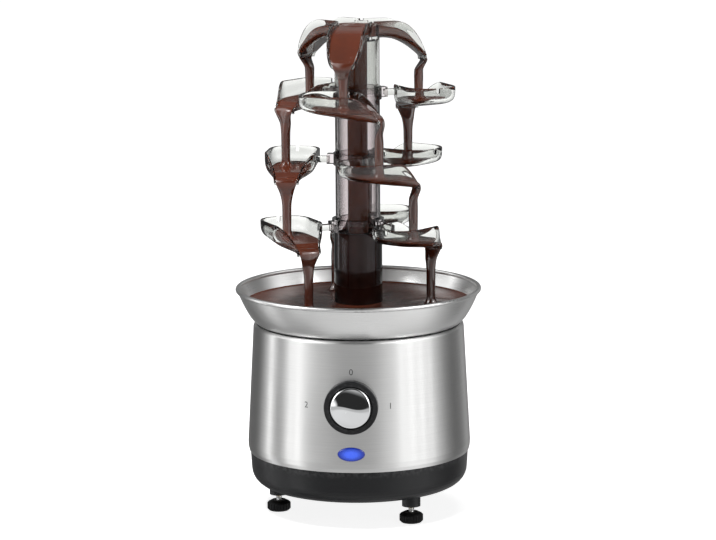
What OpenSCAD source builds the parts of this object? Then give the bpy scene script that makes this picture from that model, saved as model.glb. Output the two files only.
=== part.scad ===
// Chocolate fountain: a steel-cased heated bowl with a clear tower of stepped cups over it.
// Millimetres, +Z up, origin on the floor under the tower axis, front towards -Y.

/* [Feet] */
// Diameter of each foot pad
foot_pad_d = 20; // [15:0.5:24]
// Height of each foot pad
foot_pad_h = 9; // [7:0.5:12]
// Gap between a pad and its boss at rest
foot_gap = 5; // [4:0.5:8]
// Diameter of the threaded foot studs
foot_stud_d = 5; // [4:0.5:6]
// Length of stud above the lower face of its boss
foot_stud_hold = 18; // [14:0.5:24]
// Diameter of the bosses that take the studs
foot_boss_d = 15.6; // [13:0.2:20]
// Height of the bosses below the base pan
foot_boss_drop = 9; // [4:0.5:10]
// Radius of the circle that the feet stand on
foot_circle_r = 70; // [58:0.5:72]
// Angle of the first foot from the front, towards the right
foot_angle = 42.5; // [40:0.5:75]

/* [Base pan] */
// Step from the housing's lower edge in to the pan
pan_step = 0.7; // [0.4:0.1:1.5]
// Height of the pan
pan_h = 29.2; // [22:0.2:34]
// Radius of the rounded lower edge
pan_edge_r = 14; // [8:0.5:18]
// Inward draft of the side wall
pan_draft = 1; // [0.5:0.1:2]
// Wall thickness of the pan
pan_wall = 2.5; // [2:0.1:3.5]
// Number of cooling slots in the floor
vent_count = 12; // [6:2:18]
// Width of each cooling slot
vent_w = 3; // [2:0.2:4]
// Length of each cooling slot
vent_l = 14; // [8:1:16]
// Height of the cord gland above the pan floor
gland_h = 15; // [13:0.5:17]
// Bore of the cord gland
gland_bore_d = 6.4; // [5:0.2:8]

/* [Housing] */
// Radius at the widest point
housing_belly_r = 95.1; // [91:0.1:99]
// How far the lower edge lies inside the widest point
housing_tuck = 1.1; // [0.6:0.1:2]
// Height of the widest point above the lower edge
housing_belly_h = 7.6; // [5:0.2:12]
// How far the top, below the shoulder, lies inside the widest point
housing_taper = 5.4; // [3:0.1:8]
// Height of the housing
housing_h = 110; // [104:0.5:124]
// Sheet thickness
housing_wall = 1; // [0.8:0.1:1.6]
// Radius of the rounded shoulder
shoulder_r = 3; // [2:0.2:5]
// Width of the turned-in shoulder that carries the bowl
shoulder_w = 8; // [7:0.5:10]

/* [Bowl] */
// Radius over the rolled rim
bowl_rim_r = 104.5; // [98:0.5:115]
// Height of the rim above the bowl seat
bowl_h = 29.6; // [24:0.2:40]
// Width of the floor's sloping edge inside the shoulder
bowl_slope_w = 9; // [6:0.5:14]
// Depth of the floor below the seat
bowl_sump = 10.5; // [8:0.5:14]
// Sheet thickness
bowl_wall = 1; // [0.8:0.1:1.6]
// Radius of the rolled bead
bowl_bead_r = 1.8; // [1.4:0.1:2.6]
// Thickness of the gasket under the seat
gasket_t = 1.1; // [0.8:0.1:2]
// Level of the chocolate below the rim
pool_drop = 14; // [8:0.5:18]

/* [Controls] */
// Height of the knob axis above the housing's lower edge
knob_h = 55.4; // [50:0.2:66]
// Diameter of the knob
knob_d = 35; // [28:0.5:36]
// Height of the knob from its back to its ridge
knob_depth = 8.9; // [7.5:0.1:9]
// Thickness of the knob's ridge
knob_ridge_w = 4.6; // [3:0.2:7]
// Radius of the finger scoops beside the ridge
knob_scoop_r = 15; // [13:0.5:20]
// Diameter of the bezel ring
bezel_d = 45; // [42:0.5:50]
// Depth of the recess that the knob turns in
bezel_recess = 3; // [2:0.1:3.4]
// Diameter of the knob spindle
spindle_d = 6; // [5:0.5:6.5]
// Height of the lens above the housing's lower edge
lens_h = 15.8; // [13:0.2:24]
// Width of the oval lens
lens_w = 22.7; // [16:0.1:28]
// Height of the oval lens
lens_tall = 11.6; // [8:0.1:14]
// How far the lens stands proud of the housing
lens_proud = 1.2; // [0.6:0.1:2]

/* [Drive] */
// Diameter of the motor can
motor_d = 42; // [36:1:46]
// Height of the motor can
motor_h = 40; // [30:1:44]
// Diameter of the gear box
gearbox_d = 56; // [50:1:60]
// Height of the gear box
gearbox_h = 24; // [18:1:28]
// Thickness of the motor bracket
bracket_t = 2; // [1.5:0.1:3]
// Radius of the circle of posts under the bracket
post_circle_r = 44; // [40:0.5:48]
// Distance across the posts
post_d = 8; // [6:0.5:10]
// Diameter of the drive shaft
shaft_d = 8; // [6:0.5:8]
// Depth of the shaft in the gear box
shaft_hold = 11; // [8:0.5:14]
// Length of the bracket screws in their posts
bracket_screw_l = 8; // [6:0.5:12]
// Wall thickness of the shaft bush
bush_wall = 1.7; // [1.2:0.1:1.8]

/* [Heater] */
// Radius of the heater plate under the bowl
heater_r = 48; // [42:0.5:56]
// Thickness of the heater plate
heater_t = 4; // [3:0.5:6]
// Radius of the circle of the heater element
element_circle_r = 36; // [32:0.5:40]
// Diameter of the heater element
element_d = 6.4; // [5:0.2:8]

/* [Tower] */
// Outer diameter of the lower tube
lower_tube_d = 41; // [40.5:0.5:44]
// Height of the lower tube
lower_tube_h = 97.8; // [92:0.2:112]
// Outer diameter of the tubes above it
tube_d = 38; // [36:0.5:40]
// Wall thickness of the tubes
tube_wall = 2.2; // [1.8:0.1:2.6]
// Rise from one tier of cups to the next
tier_rise = 56; // [52:0.5:66]
// Turn from one tier of cups to the next
tier_turn = 31; // [24:1:34]
// Angle of the front crown chute from the front, towards the right
crown_angle = -8; // [-30:1:30]
// Turn from the crown's chutes to the upper tier of cups
upper_lead = 4; // [0:1:10]
// Height of each collar
collar_h = 10.5; // [10:0.5:13]
// Thickness of each collar outside its tube
collar_t = 1.6; // [1:0.1:2.4]
// Length of the spigots that locate each tube in the one below
spigot_h = 5; // [3:0.5:7]
// Outer diameter of the riser
riser_d = 17; // [16.5:0.5:22]
// Wall thickness of the riser
riser_wall = 1.3; // [1:0.1:1.6]
// Height of the inflow notches at the foot of tube and riser
inflow_h = 8; // [5:0.5:12]
// Height of the chocolate inside the lower tube
column_h = 85; // [40:1:90]

/* [Auger] */
// Gap between the auger's flight and the riser
auger_gap = 0.5; // [0.4:0.1:1.2]
// Diameter of the auger's core
auger_core_d = 5; // [4:0.5:7]
// Pitch of the flight
auger_pitch = 16; // [12:0.5:24]
// Thickness of the flight
auger_flight_t = 1.8; // [1.4:0.1:2.6]
// Width across the corners of the drive hexagon
drive_hex_d = 8.5; // [7.5:0.25:9]
// Height of the drive hexagon
drive_hex_h = 8; // [6:0.5:12]

/* [Cups] */
// Distance of each cup's middle line from the tower axis
cup_offset = 57; // [50:0.5:60]
// Reach of the heel behind the cup's middle
cup_back = 40; // [34:0.5:42]
// Reach of the lip before the cup's middle
cup_front = 29.5; // [26:0.5:34]
// Half width of the cup at its middle
cup_half_w = 22; // [18:0.5:24]
// Half width of the lip
cup_lip_half_w = 10.5; // [8:0.5:14]
// Length of the rounded heel
cup_heel_l = 22; // [16:0.5:30]
// Wall thickness of cups and chutes
cup_wall = 2; // [1.4:0.1:2.4]
// Depth of the underside below the tube joint at the heel
cup_heel_depth = 13.5; // [12:0.5:16]
// Depth of the underside below the tube joint at the lip
cup_lip_depth = 24; // [20:0.5:28]
// Drop of the rim below the tube joint
cup_rim_drop = 1; // [0.5:0.1:2]
// Width of the cup's arm
arm_w = 5.6; // [4:0.2:7]
// Height of the cup's arm
arm_h = 5.5; // [4:0.1:6]
// Reach of the collar lugs from the tower axis
lug_reach = 26; // [24.5:0.5:28]
// Depth of the pocket in each lug
lug_pocket = 2.6; // [1.5:0.1:3]

/* [Crown] */
// Height of the crown above its joint
crown_h = 55; // [52:0.5:62]
// Depth of the chutes at the tower
chute_depth = 14; // [12:0.5:20]
// Reach of the chutes from the tower axis
chute_reach = 60; // [54:0.5:64]
// Drop of the chutes from tower to lip
chute_drop = 21; // [16:0.5:24]
// Half width of the chutes at the tower
chute_half_w = 15.5; // [12:0.5:16]
// Half width of the chute lips
chute_lip_half_w = 9; // [7:0.25:10]

/* [Chocolate] */
// Radius of a falling stream
stream_r = 3.9; // [2.4:0.1:4.4]
// Depth of the chocolate below the tube joint at a cup's heel
cup_level_drop = 10.5; // [8:0.1:11]
// Thickness of the sheet that runs over a lip
lip_sheet_t = 3; // [2:0.1:3.6]

/* [Fits] */
// Gap between pieces that locate in each other
fit = 0.1; // [0.05:0.05:0.3]
// Radial gap of a turning shaft in its bush
run_fit = 0.05; // [0.03:0.01:0.1]
// Gap that keeps turning and fixed pieces apart
run_gap = 0.5; // [0.4:0.1:1]
// Gap between the chocolate and the pieces that hold it
wet_gap = 0.35; // [0.2:0.05:0.4]

/* [Hidden] */
$fn = 96;
around = [0, 120, 240];
cut = 1;

// Heights, from the floor up
boss_z = foot_pad_h + foot_gap;
pan_z = boss_z + foot_boss_drop;
pan_floor_z = pan_z + pan_wall;
housing_z = pan_z + pan_h;
shoulder_z = housing_z + housing_h;
seat_z = shoulder_z + gasket_t;
floor_under_z = seat_z - bowl_sump;
floor_z = floor_under_z + bowl_wall;
rim_z = seat_z + bowl_h;
pool_z = rim_z - pool_drop;
heater_z = floor_under_z - heater_t;
element_z = heater_z - fit - element_d / 2;
bracket_z = element_z - element_d / 2 - 10.5 - bracket_t;
gearbox_z = bracket_z - gearbox_h;
motor_z = gearbox_z - motor_h;
lower_joint_z = floor_z + lower_tube_h;
middle_joint_z = lower_joint_z + tier_rise;
upper_joint_z = middle_joint_z + tier_rise;
top_z = upper_joint_z + crown_h;
knob_z = housing_z + knob_h;
lens_z = housing_z + lens_h;

// Radii
housing_low_r = housing_belly_r - housing_tuck;
housing_top_r = housing_belly_r - housing_taper;
pan_r = housing_low_r - pan_step;
bowl_seat_r = housing_top_r - shoulder_r;
tube_r = tube_d / 2;
tube_in_r = tube_r - tube_wall;
spigot_r = tube_r - tube_wall / 2;
lower_in_r = spigot_r + fit;
riser_r = riser_d / 2;
riser_in_r = riser_r - riser_wall;
auger_r = riser_in_r - auger_gap;
shaft_r = shaft_d / 2;
bush_r = shaft_r + bush_wall;
bush_flange_r = bush_r + 3;
shoulder_in_r = housing_top_r - shoulder_r - shoulder_w;
bowl_floor_r = shoulder_in_r - bowl_slope_w;
foot_thread_r = foot_stud_d / 2 + run_fit;
insert_r = foot_stud_d / 2 + 2;
foot_socket_z = foot_pad_h / 3;
screw_circle_r = pan_r - pan_draft - pan_edge_r - 1;
screw_r = 1.6;
screw_head_r = 3;
screw_boss_r = 4.6;
screw_seat_z = pan_z + 15;
insert_z = pan_floor_z + 6;
vent_in_r = 22;
gland_neck_d = gland_bore_d + 5;
gland_l = 7;
gland_flange_t = 2.4;
terminal_w = 26;
terminal_l = 13;
terminal_h = 12;
terminal_y = 43;

// Controls, as distances from the tower axis
face_r = housing_r(knob_z);
bezel_floor_r = face_r + 1.5;
bezel_front_r = bezel_floor_r + bezel_recess;
knob_back_r = bezel_floor_r + run_gap;
nut_t = 1.8;
nut_d = 12;
switch_w = 22;
switch_t = 15;
switch_front_r = face_r - housing_wall - 4;
switch_bush_r = spindle_d / 2 + 1.6;
lens_deep = 7;

// Drive
seal_h = 3;
coupling_h = 5;
coupling_z = floor_z + seal_h + run_gap;
coupling_r = riser_in_r - 1.4;
hex_z = coupling_z + coupling_h;
socket_h = drive_hex_h + 2;
socket_r = riser_in_r - run_gap - 0.4;
flight_z = hex_z + socket_h;
auger_top_z = upper_joint_z + crown_h - chute_depth;
flight_steps = 12;

// Cups and chutes
squareness = 4;
heel_squareness = 2.6;
section_sides = 10;
cup_sections = 10;
chute_sections = 9;
cup_lip_drop = cup_lip_depth - cup_wall - lip_sheet_t;
cup_neck = 2;
arm_top = 3.4;
lug_wall = 1.6;
lug_foot = 0.7;
lug_step = 1.2;
chute_root = sqrt(pow(tube_r - 0.4, 2) - pow(chute_half_w, 2));
chute_sill = 0.3;
chute_floor = crown_h - chute_depth;
run_sides = 6;

// Tier angles follow the flow round the tower
upper_angle = crown_angle + upper_lead;
middle_angle = upper_angle + tier_turn;
lower_angle = middle_angle + tier_turn;

function lerp(a, b, u) = a + (b - a) * u;
function clamp01(u) = min(1, max(0, u));
function smooth(u) = u * u * (3 - 2 * u);
function reversed(list) = [for (i = [len(list) - 1:-1:0]) list[i]];
function arc(cx, cy, r, a0, a1, steps) = [for (i = [0:steps]) let (a = lerp(a0, a1, i / steps))
  [cx + r * cos(a), cy + r * sin(a)]];
function bezier(p, u) = (1 - u) * (1 - u) * p[0] + 2 * u * (1 - u) * p[1] + u * u * p[2];
function bezier_normal(p, u) = let (d = (1 - u) * (p[1] - p[0]) + u * (p[2] - p[1])) [-d[1], d[0]] / norm(d);

// Housing radius on the straight cone between the belly and the shoulder
function housing_r(z) = lerp(housing_belly_r, housing_top_r,
  (z - housing_z - housing_belly_h) / (housing_h - housing_belly_h - shoulder_r));

// Places a child at an angle from the front, its own X pointing outwards
module at_angle(angle, r = 0) { rotate([0, 0, angle - 90]) translate([r, 0, 0]) children(); }

// Turns a child's Z towards the front at a height
module facing_front(z) { translate([0, 0, z]) rotate([90, 0, 0]) children(); }

module tube(r, inner_r, z0, z1) {
  difference() {
    translate([0, 0, z0]) cylinder(r = r, h = z1 - z0);
    translate([0, 0, z0 - cut]) cylinder(r = inner_r, h = z1 - z0 + 2 * cut);
  }
}

module rod(r, z0, z1, sides = $fn) { translate([0, 0, z0]) cylinder(r = r, h = z1 - z0, $fn = sides); }

// Base pan

module pan_solid(inset) {
  side_r = pan_r - pan_draft - inset;
  edge_r = pan_edge_r - inset;
  rotate_extrude() polygon(concat(
    [[0, pan_z + inset]],
    arc(side_r - edge_r, pan_z + pan_edge_r, edge_r, -90, 0, 8),
    [[pan_r - inset, housing_z + (inset > 0 ? cut : 0)], [0, housing_z + (inset > 0 ? cut : 0)]]));
}

module base_pan() {
  color([0.16, 0.16, 0.17]) difference() {
    union() {
      difference() {
        pan_solid(0);
        pan_solid(pan_wall);
      }
      for (k = around) {
        at_angle(foot_angle + k, foot_circle_r) rod(foot_boss_d / 2, boss_z, insert_z);
        intersection() {
          at_angle(foot_angle + 60 + k, screw_circle_r) rod(screw_boss_r, pan_z, housing_z);
          pan_solid(0);
        }
      }
    }
    for (k = around) {
      at_angle(foot_angle + k, foot_circle_r) rod(insert_r, boss_z - cut, insert_z + cut);
      at_angle(foot_angle + 60 + k, screw_circle_r) {
        rod(screw_head_r + fit, pan_z - cut, screw_seat_z);
        rod(screw_r + fit, pan_z, housing_z + cut);
      }
    }
    for (i = [0:vent_count - 1])
      at_angle(i * 360 / vent_count, vent_in_r + vent_l / 2)
        translate([-vent_l / 2, -vent_w / 2, pan_z - cut]) cube([vent_l, vent_w, pan_wall + 2 * cut]);
    translate([0, pan_r, pan_z + gland_h]) rotate([90, 0, 0])
      cylinder(d = gland_neck_d + 2 * fit, h = 3 * gland_l, center = true);
  }
}

module cord_gland() {
  color([0.12, 0.12, 0.13]) translate([0, pan_r, pan_z + gland_h]) rotate([-90, 0, 0]) difference() {
    union() {
      translate([0, 0, -gland_l]) cylinder(d = gland_neck_d, h = gland_l + cut);
      cylinder(d1 = gland_neck_d + 4, d2 = gland_neck_d + 2, h = gland_flange_t);
    }
    translate([0, 0, -gland_l - cut]) cylinder(d = gland_bore_d, h = gland_l + gland_flange_t + 2 * cut);
  }
}

module terminal_block() {
  color([0.85, 0.85, 0.82]) translate([-terminal_w / 2, terminal_y, pan_floor_z]) difference() {
    cube([terminal_w, terminal_l, terminal_h]);
    for (i = [0:2]) translate([terminal_w * (i + 0.5) / 3, terminal_l / 2, terminal_h / 2])
      cylinder(d = 4, h = terminal_h);
  }
}

module base_screws() {
  color([0.75, 0.75, 0.76]) for (k = around) at_angle(foot_angle + 60 + k, screw_circle_r) difference() {
    union() {
      rod(screw_head_r, screw_seat_z - 2.2, screw_seat_z);
      rod(screw_r, screw_seat_z, housing_z + housing_wall + 4);
    }
    rod(1.4, screw_seat_z - 3, screw_seat_z - 1, 6);
  }
}

// Feet

module foot_inserts() {
  color([0.78, 0.62, 0.3]) for (k = around) at_angle(foot_angle + k, foot_circle_r)
    tube(insert_r, foot_thread_r, boss_z, insert_z);
}

// A fluted grip pad with a blind socket for its stud
module foot_pad(k) {
  pad_r = foot_pad_d / 2;
  edge = 1.6;
  socket_r = foot_stud_d / 2 + fit;
  flute_r = 0.8;
  flutes = 24;
  color([0.09, 0.09, 0.1]) at_angle(foot_angle + around[k], foot_circle_r) difference() {
    rotate_extrude() polygon([[0, 0], [pad_r - edge, 0], [pad_r, edge], [pad_r, foot_pad_h - 2.6],
      [pad_r - 1, foot_pad_h - 1.6], [pad_r - 4, foot_pad_h], [socket_r, foot_pad_h],
      [socket_r, foot_socket_z], [0, foot_socket_z]]);
    for (i = [0:flutes - 1]) rotate([0, 0, i * 360 / flutes]) translate([pad_r + 0.3, 0, 0])
      rod(flute_r, edge, foot_pad_h, 6);
  }
}

module foot_stud(k) {
  color([0.8, 0.8, 0.81]) at_angle(foot_angle + around[k], foot_circle_r)
    rod(foot_stud_d / 2, foot_socket_z, boss_z + foot_stud_hold);
}

// Housing and bowl

module housing_solid(grow) {
  top_r = housing_top_r + grow;
  rotate_extrude() polygon(concat(
    [[0, housing_z - grow], [housing_low_r + grow, housing_z - grow]],
    [[lerp(housing_low_r, housing_belly_r, 0.75) + grow, housing_z + housing_belly_h * 0.4],
     [housing_belly_r + grow, housing_z + housing_belly_h]],
    arc(top_r - shoulder_r, shoulder_z + grow - shoulder_r, shoulder_r, 0, 90, 5),
    [[0, shoulder_z + grow]]));
}

module oval_prism(w, tall, h) {
  linear_extrude(h) polygon([for (i = [0:47]) [w / 2 * cos(i * 7.5), tall / 2 * sin(i * 7.5)]]);
}

module housing() {
  color([0.75, 0.75, 0.74]) difference() {
    housing_solid(0);
    housing_solid(-housing_wall);
    rod(shoulder_in_r, shoulder_z - 2 * housing_wall, shoulder_z + cut);
    rod(screw_circle_r - screw_boss_r - 2, housing_z - cut, housing_z + 2 * housing_wall);
    for (k = around) at_angle(foot_angle + 60 + k, screw_circle_r)
      rod(screw_r + fit, housing_z - cut, housing_z + 2 * housing_wall);
    facing_front(knob_z) cylinder(r = switch_bush_r + fit, h = 2 * housing_belly_r);
    facing_front(lens_z) oval_prism(lens_w + 2 * fit, lens_tall + 2 * fit, 2 * housing_belly_r);
  }
}

bowl_flare = [[bowl_seat_r, seat_z], [bowl_seat_r + 6.5, seat_z + 3],
  [bowl_rim_r - bowl_bead_r + 0.4, rim_z - bowl_bead_r - 0.6]];
flare_steps = 10;

// Inner face of the bowl from the floor to the rim, moved off the metal by a gap
function bowl_inside(gap) = concat(
  [[bowl_floor_r - gap, floor_z + gap], [shoulder_in_r - 2 - gap, seat_z + bowl_wall + gap]],
  [for (i = [0:flare_steps]) let (u = i / flare_steps)
    bezier(bowl_flare, u) + (bowl_wall + gap) * bezier_normal(bowl_flare, u)]);

module bowl() {
  outside = concat(
    [[bush_r + fit, floor_under_z], [bowl_floor_r + 0.4, floor_under_z], [shoulder_in_r - 1.4, seat_z]],
    [for (i = [0:flare_steps]) bezier(bowl_flare, i / flare_steps)]);
  color([0.78, 0.78, 0.77]) union() {
    rotate_extrude() polygon(concat(outside, reversed(bowl_inside(0)), [[bush_r + fit, floor_z]]));
    rotate_extrude() translate([bowl_rim_r - bowl_bead_r, rim_z - bowl_bead_r]) circle(r = bowl_bead_r);
  }
}

module bowl_gasket() {
  color([0.1, 0.1, 0.1]) tube(bowl_seat_r, shoulder_in_r + 0.4, shoulder_z, seat_z);
}

// Heater

module heater_plate() { color([0.7, 0.71, 0.72]) tube(heater_r, bush_flange_r + 1, heater_z, floor_under_z); }

module heater_element() {
  color([0.45, 0.44, 0.43]) translate([0, 0, element_z])
    rotate_extrude() translate([element_circle_r, 0]) circle(d = element_d);
}

module thermostat() {
  color([0.88, 0.86, 0.8]) at_angle(200, 22) {
    rod(6.5, heater_z - 3, heater_z);
    rod(5, heater_z - 9, heater_z - 3);
  }
}

module thermal_fuse() {
  color([0.75, 0.7, 0.6]) at_angle(110, 20) translate([0, -7, heater_z - 2.5 - fit])
    rotate([-90, 0, 0]) cylinder(d = 5, h = 14);
}

// Drive

module motor() {
  color([0.55, 0.55, 0.56]) union() {
    rod(motor_d / 2, motor_z, gearbox_z);
    rod(6, motor_z - 3, motor_z + cut);
  }
}

module gearbox() {
  color([0.8, 0.8, 0.81]) difference() {
    rod(gearbox_d / 2, gearbox_z, bracket_z);
    rod(shaft_r + run_fit, bracket_z - shaft_hold - cut, bracket_z + cut);
  }
}

module motor_bracket() {
  color([0.72, 0.73, 0.74]) difference() {
    rod(post_circle_r + post_d / 2 + 2, bracket_z, bracket_z + bracket_t);
    rod(shaft_r + 2, bracket_z - cut, bracket_z + bracket_t + cut);
    for (k = around) {
      at_angle(30 + k, post_circle_r) rod(screw_r + fit, bracket_z - cut, bracket_z + bracket_t + cut);
      at_angle(90 + k, post_circle_r) rod(post_d, bracket_z - cut, bracket_z + bracket_t + cut);
    }
  }
}

module motor_posts() {
  color([0.76, 0.76, 0.74]) for (k = around) at_angle(30 + k, post_circle_r) difference() {
    rod(post_d / 2, pan_floor_z, bracket_z, 6);
    rod(screw_r + fit, bracket_z - bracket_screw_l - cut, bracket_z + cut);
  }
}

module bracket_screws() {
  color([0.75, 0.75, 0.76]) for (k = around) at_angle(30 + k, post_circle_r) union() {
    rod(screw_r, bracket_z - bracket_screw_l, bracket_z + bracket_t);
    rod(screw_head_r, bracket_z + bracket_t, bracket_z + bracket_t + 2);
  }
}

module drive_shaft() {
  color([0.8, 0.8, 0.82]) rod(shaft_r, bracket_z - shaft_hold, coupling_z + coupling_h - 1);
}

module shaft_bush() {
  color([0.78, 0.62, 0.3]) difference() {
    union() {
      rod(bush_r, heater_z - 4, floor_z + 1);
      rod(bush_flange_r, floor_under_z - 2, floor_under_z);
    }
    rod(shaft_r + run_fit, heater_z - 5, floor_z + 2);
  }
}

module shaft_seal() {
  seal_r = riser_in_r - fit;
  color([0.15, 0.15, 0.16]) difference() {
    rod(seal_r, floor_z, floor_z + seal_h);
    rod(bush_r + fit, floor_z - cut, floor_z + 1 + fit);
    rod(shaft_r + run_fit, floor_z, floor_z + seal_h + cut);
  }
}

module drive_coupling() {
  color([0.85, 0.84, 0.8]) difference() {
    union() {
      rod(coupling_r, coupling_z, hex_z);
      rod(drive_hex_d / 2, hex_z, hex_z + drive_hex_h, 6);
    }
    rod(shaft_r + fit, coupling_z - cut, hex_z - 1);
  }
}

// Points of one closed ring after another, joined into a solid with flat ends
module ring_solid(rings) {
  n = len(rings[0]);
  last = len(rings) - 1;
  polyhedron(points = [for (r = rings) each r], faces = concat(
    [for (i = [0:last - 1], j = [0:n - 1]) let (a = i * n + j, b = i * n + (j + 1) % n)
      each [[a, b, a + n], [b, b + n, a + n]]],
    [for (j = [1:n - 2]) [0, j + 1, j]],
    [for (j = [1:n - 2]) [last * n, last * n + j, last * n + j + 1]]));
}

module auger_flight(z0, z1) {
  turns = (z1 - z0 - auger_flight_t) / auger_pitch;
  steps = ceil(turns * flight_steps);
  half_t = auger_flight_t / 2;
  inner_r = auger_core_d / 2 - 0.6;
  ring_solid([for (i = [0:steps])
    let (a = 360 * turns * i / steps, z = lerp(z0 + half_t, z1 - half_t, i / steps))
    [for (p = [[inner_r, -half_t], [auger_r, -half_t], [auger_r, half_t], [inner_r, half_t]])
      [p[0] * cos(a), p[0] * sin(a), z + p[1]]]]);
}

module auger() {
  color([0.36, 0.22, 0.17]) difference() {
    union() {
      rod(auger_core_d / 2, flight_z - 1, auger_top_z);
      auger_flight(flight_z - auger_flight_t / 3, auger_top_z);
      rod(socket_r, hex_z + run_gap, flight_z);
    }
    rod(drive_hex_d / 2 + fit, hex_z, hex_z + drive_hex_h + fit, 6);
  }
}

// Controls

module knob_bezel() {
  $fn = 240;
  ring_in_r = knob_d / 2 + run_gap;
  edge = 1.2;
  color([0.13, 0.13, 0.14]) difference() {
    facing_front(knob_z) rotate_extrude() polygon(concat(
      [[switch_bush_r + fit, face_r - 12], [bezel_d / 2, face_r - 12]],
      arc(bezel_d / 2 - edge, bezel_front_r - edge, edge, 0, 90, 4),
      [[ring_in_r + 0.6, bezel_front_r], [ring_in_r, bezel_front_r - 0.6], [ring_in_r, bezel_floor_r],
       [switch_bush_r + fit, bezel_floor_r]]));
    housing_solid(fit);
  }
}

module knob() {
  edge = 1.4;
  cavity_r = nut_d / 2 + 1;
  cavity_z = nut_t + 1;
  scoop_z = 2.6;
  scoop_y = knob_ridge_w / 2 + knob_scoop_r * cos(asin(1 - (knob_depth - scoop_z) / knob_scoop_r));
  color([0.8, 0.81, 0.82]) facing_front(knob_z) translate([0, 0, knob_back_r]) difference() {
    rotate_extrude() polygon(concat([[0, 0], [knob_d / 2, 0]],
      arc(knob_d / 2 - edge, knob_depth - edge, edge, 0, 90, 4), [[0, knob_depth]]));
    for (side = [-1, 1]) translate([0, side * scoop_y, scoop_z + knob_scoop_r])
      rotate([0, 90, 0]) cylinder(r = knob_scoop_r, h = 2 * knob_d, center = true);
    translate([0, 0, -cut]) cylinder(r = cavity_r, h = cavity_z + cut);
    cylinder(d = spindle_d + 2 * fit, h = knob_depth - 1.2);
  }
}

module knob_spindle() {
  color([0.75, 0.76, 0.77]) facing_front(knob_z)
    rod(spindle_d / 2, switch_front_r - 8, knob_back_r + knob_depth - 2);
}

module rotary_switch() {
  color([0.2, 0.2, 0.22]) facing_front(knob_z) difference() {
    union() {
      translate([-switch_w / 2, -switch_w / 2, switch_front_r - switch_t])
        cube([switch_w, switch_w, switch_t]);
      rod(switch_bush_r, switch_front_r - cut, bezel_floor_r + nut_t);
      for (x = [-7, 0, 7]) translate([x - 1.5, -6, switch_front_r - switch_t - 6]) cube([3, 0.8, 6 + cut]);
    }
    rod(spindle_d / 2 + run_fit, switch_front_r - 9, bezel_front_r + cut);
  }
}

module switch_nut() {
  color([0.76, 0.74, 0.66]) facing_front(knob_z) difference() {
    rod(nut_d / 2, bezel_floor_r, bezel_floor_r + nut_t - fit, 6);
    rod(switch_bush_r + fit, bezel_floor_r - cut, bezel_floor_r + nut_t);
  }
}

module indicator_lens() {
  flange = 3;
  wall_r = housing_r(lens_z) - housing_wall;
  color([0.1, 0.25, 0.95]) difference() {
    intersection() {
      facing_front(lens_z) {
        oval_prism(lens_w, lens_tall, 2 * housing_belly_r);
        oval_prism(lens_w + flange, lens_tall + flange, wall_r - 3);
      }
      housing_solid(lens_proud);
    }
    facing_front(lens_z) translate([0, 0, -cut])
      oval_prism(lens_w + 2 * flange, lens_tall + 2 * flange, wall_r - lens_deep + cut + fit);
    facing_front(lens_z) oval_prism(lens_w - 3, lens_tall - 3, wall_r - 2);
  }
}

module indicator_lamp() {
  back_r = housing_r(lens_z) - housing_wall - lens_deep;
  color([0.85, 0.88, 0.95]) facing_front(lens_z) union() {
    rod(2.5, back_r - cut, back_r + 4.4);
    translate([-8, -5, back_r - 4]) cube([16, 10, 4]);
  }
}

// Clear tower

// One tube of the tower: a spigot below, a socket, collar and three lugs on top
module tower_tube(r, inner_r, z0, z1, angle, spigot) {
  pocket_z = z1 - arm_top - arm_h - fit;
  color([0.86, 0.88, 0.88, 0.5]) difference() {
    union() {
      rod(r, z0, z1);
      rod(r + collar_t, z1 - collar_h, z1);
      if (spigot > 0) rod(spigot_r, z0 - spigot, z0 + cut);
      for (k = around) at_angle(angle + k)
        translate([0, -arm_w / 2 - lug_wall, z1 - collar_h + lug_foot])
          cube([lug_reach, arm_w + 2 * lug_wall, collar_h - lug_foot - lug_step]);
    }
    rod(inner_r, z0 - spigot - cut, z1 + cut);
    rod(spigot_r + fit, z1 - spigot_h - fit, z1 + cut);
    for (k = around) at_angle(angle + k)
      translate([lug_reach - lug_pocket, -arm_w / 2 - fit, pocket_z])
        cube([lug_pocket + cut, arm_w + 2 * fit, arm_h + 2 * fit]);
  }
}

module inflow_notches(r) {
  for (k = around) at_angle(k + 60) translate([0, -4, floor_z - cut]) cube([2 * r, 8, inflow_h + cut]);
}

module lower_tube() {
  color([0.86, 0.88, 0.88, 0.5]) difference() {
    tower_tube(lower_tube_d / 2, lower_in_r, floor_z, lower_joint_z, lower_angle, 0);
    inflow_notches(lower_tube_d);
  }
}

module middle_tube() { tower_tube(tube_r, tube_in_r, lower_joint_z, middle_joint_z, middle_angle, spigot_h); }

module upper_tube() { tower_tube(tube_r, tube_in_r, middle_joint_z, upper_joint_z, upper_angle, spigot_h); }

module riser_tube() {
  color([0.86, 0.88, 0.88, 0.5]) difference() {
    tube(riser_r, riser_in_r, floor_z, auger_top_z);
    inflow_notches(riser_d);
  }
}

// Troughs, each in a frame with X across, Y along the flow and Z up from its tube joint.
// A station holds the distance along, half width, rim height and underside height.

function bulge(v) = sign(v) * pow(abs(v), 2 / squareness);

function cup_station(t, inset) =
  let (heel = clamp01((cup_heel_l - cup_back + inset - t) / cup_heel_l))
  let (neck = smooth(clamp01((t - cup_neck) / (cup_front - cup_neck))))
  let (fall = pow(clamp01((t - 2 * cup_neck) / (cup_front - 2 * cup_neck)), 1.7))
  let (rim = -lerp(cup_rim_drop, cup_lip_drop, fall))
  let (under = -lerp(cup_heel_depth, cup_lip_depth, (t + cup_back) / (cup_front + cup_back)) + inset)
  let (open = pow(1 - pow(heel, heel_squareness), 1 / heel_squareness))
  [t, (lerp(cup_half_w, cup_lip_half_w, neck) - inset) * open, rim, lerp(rim, under, pow(open, 0.4))];

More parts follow.
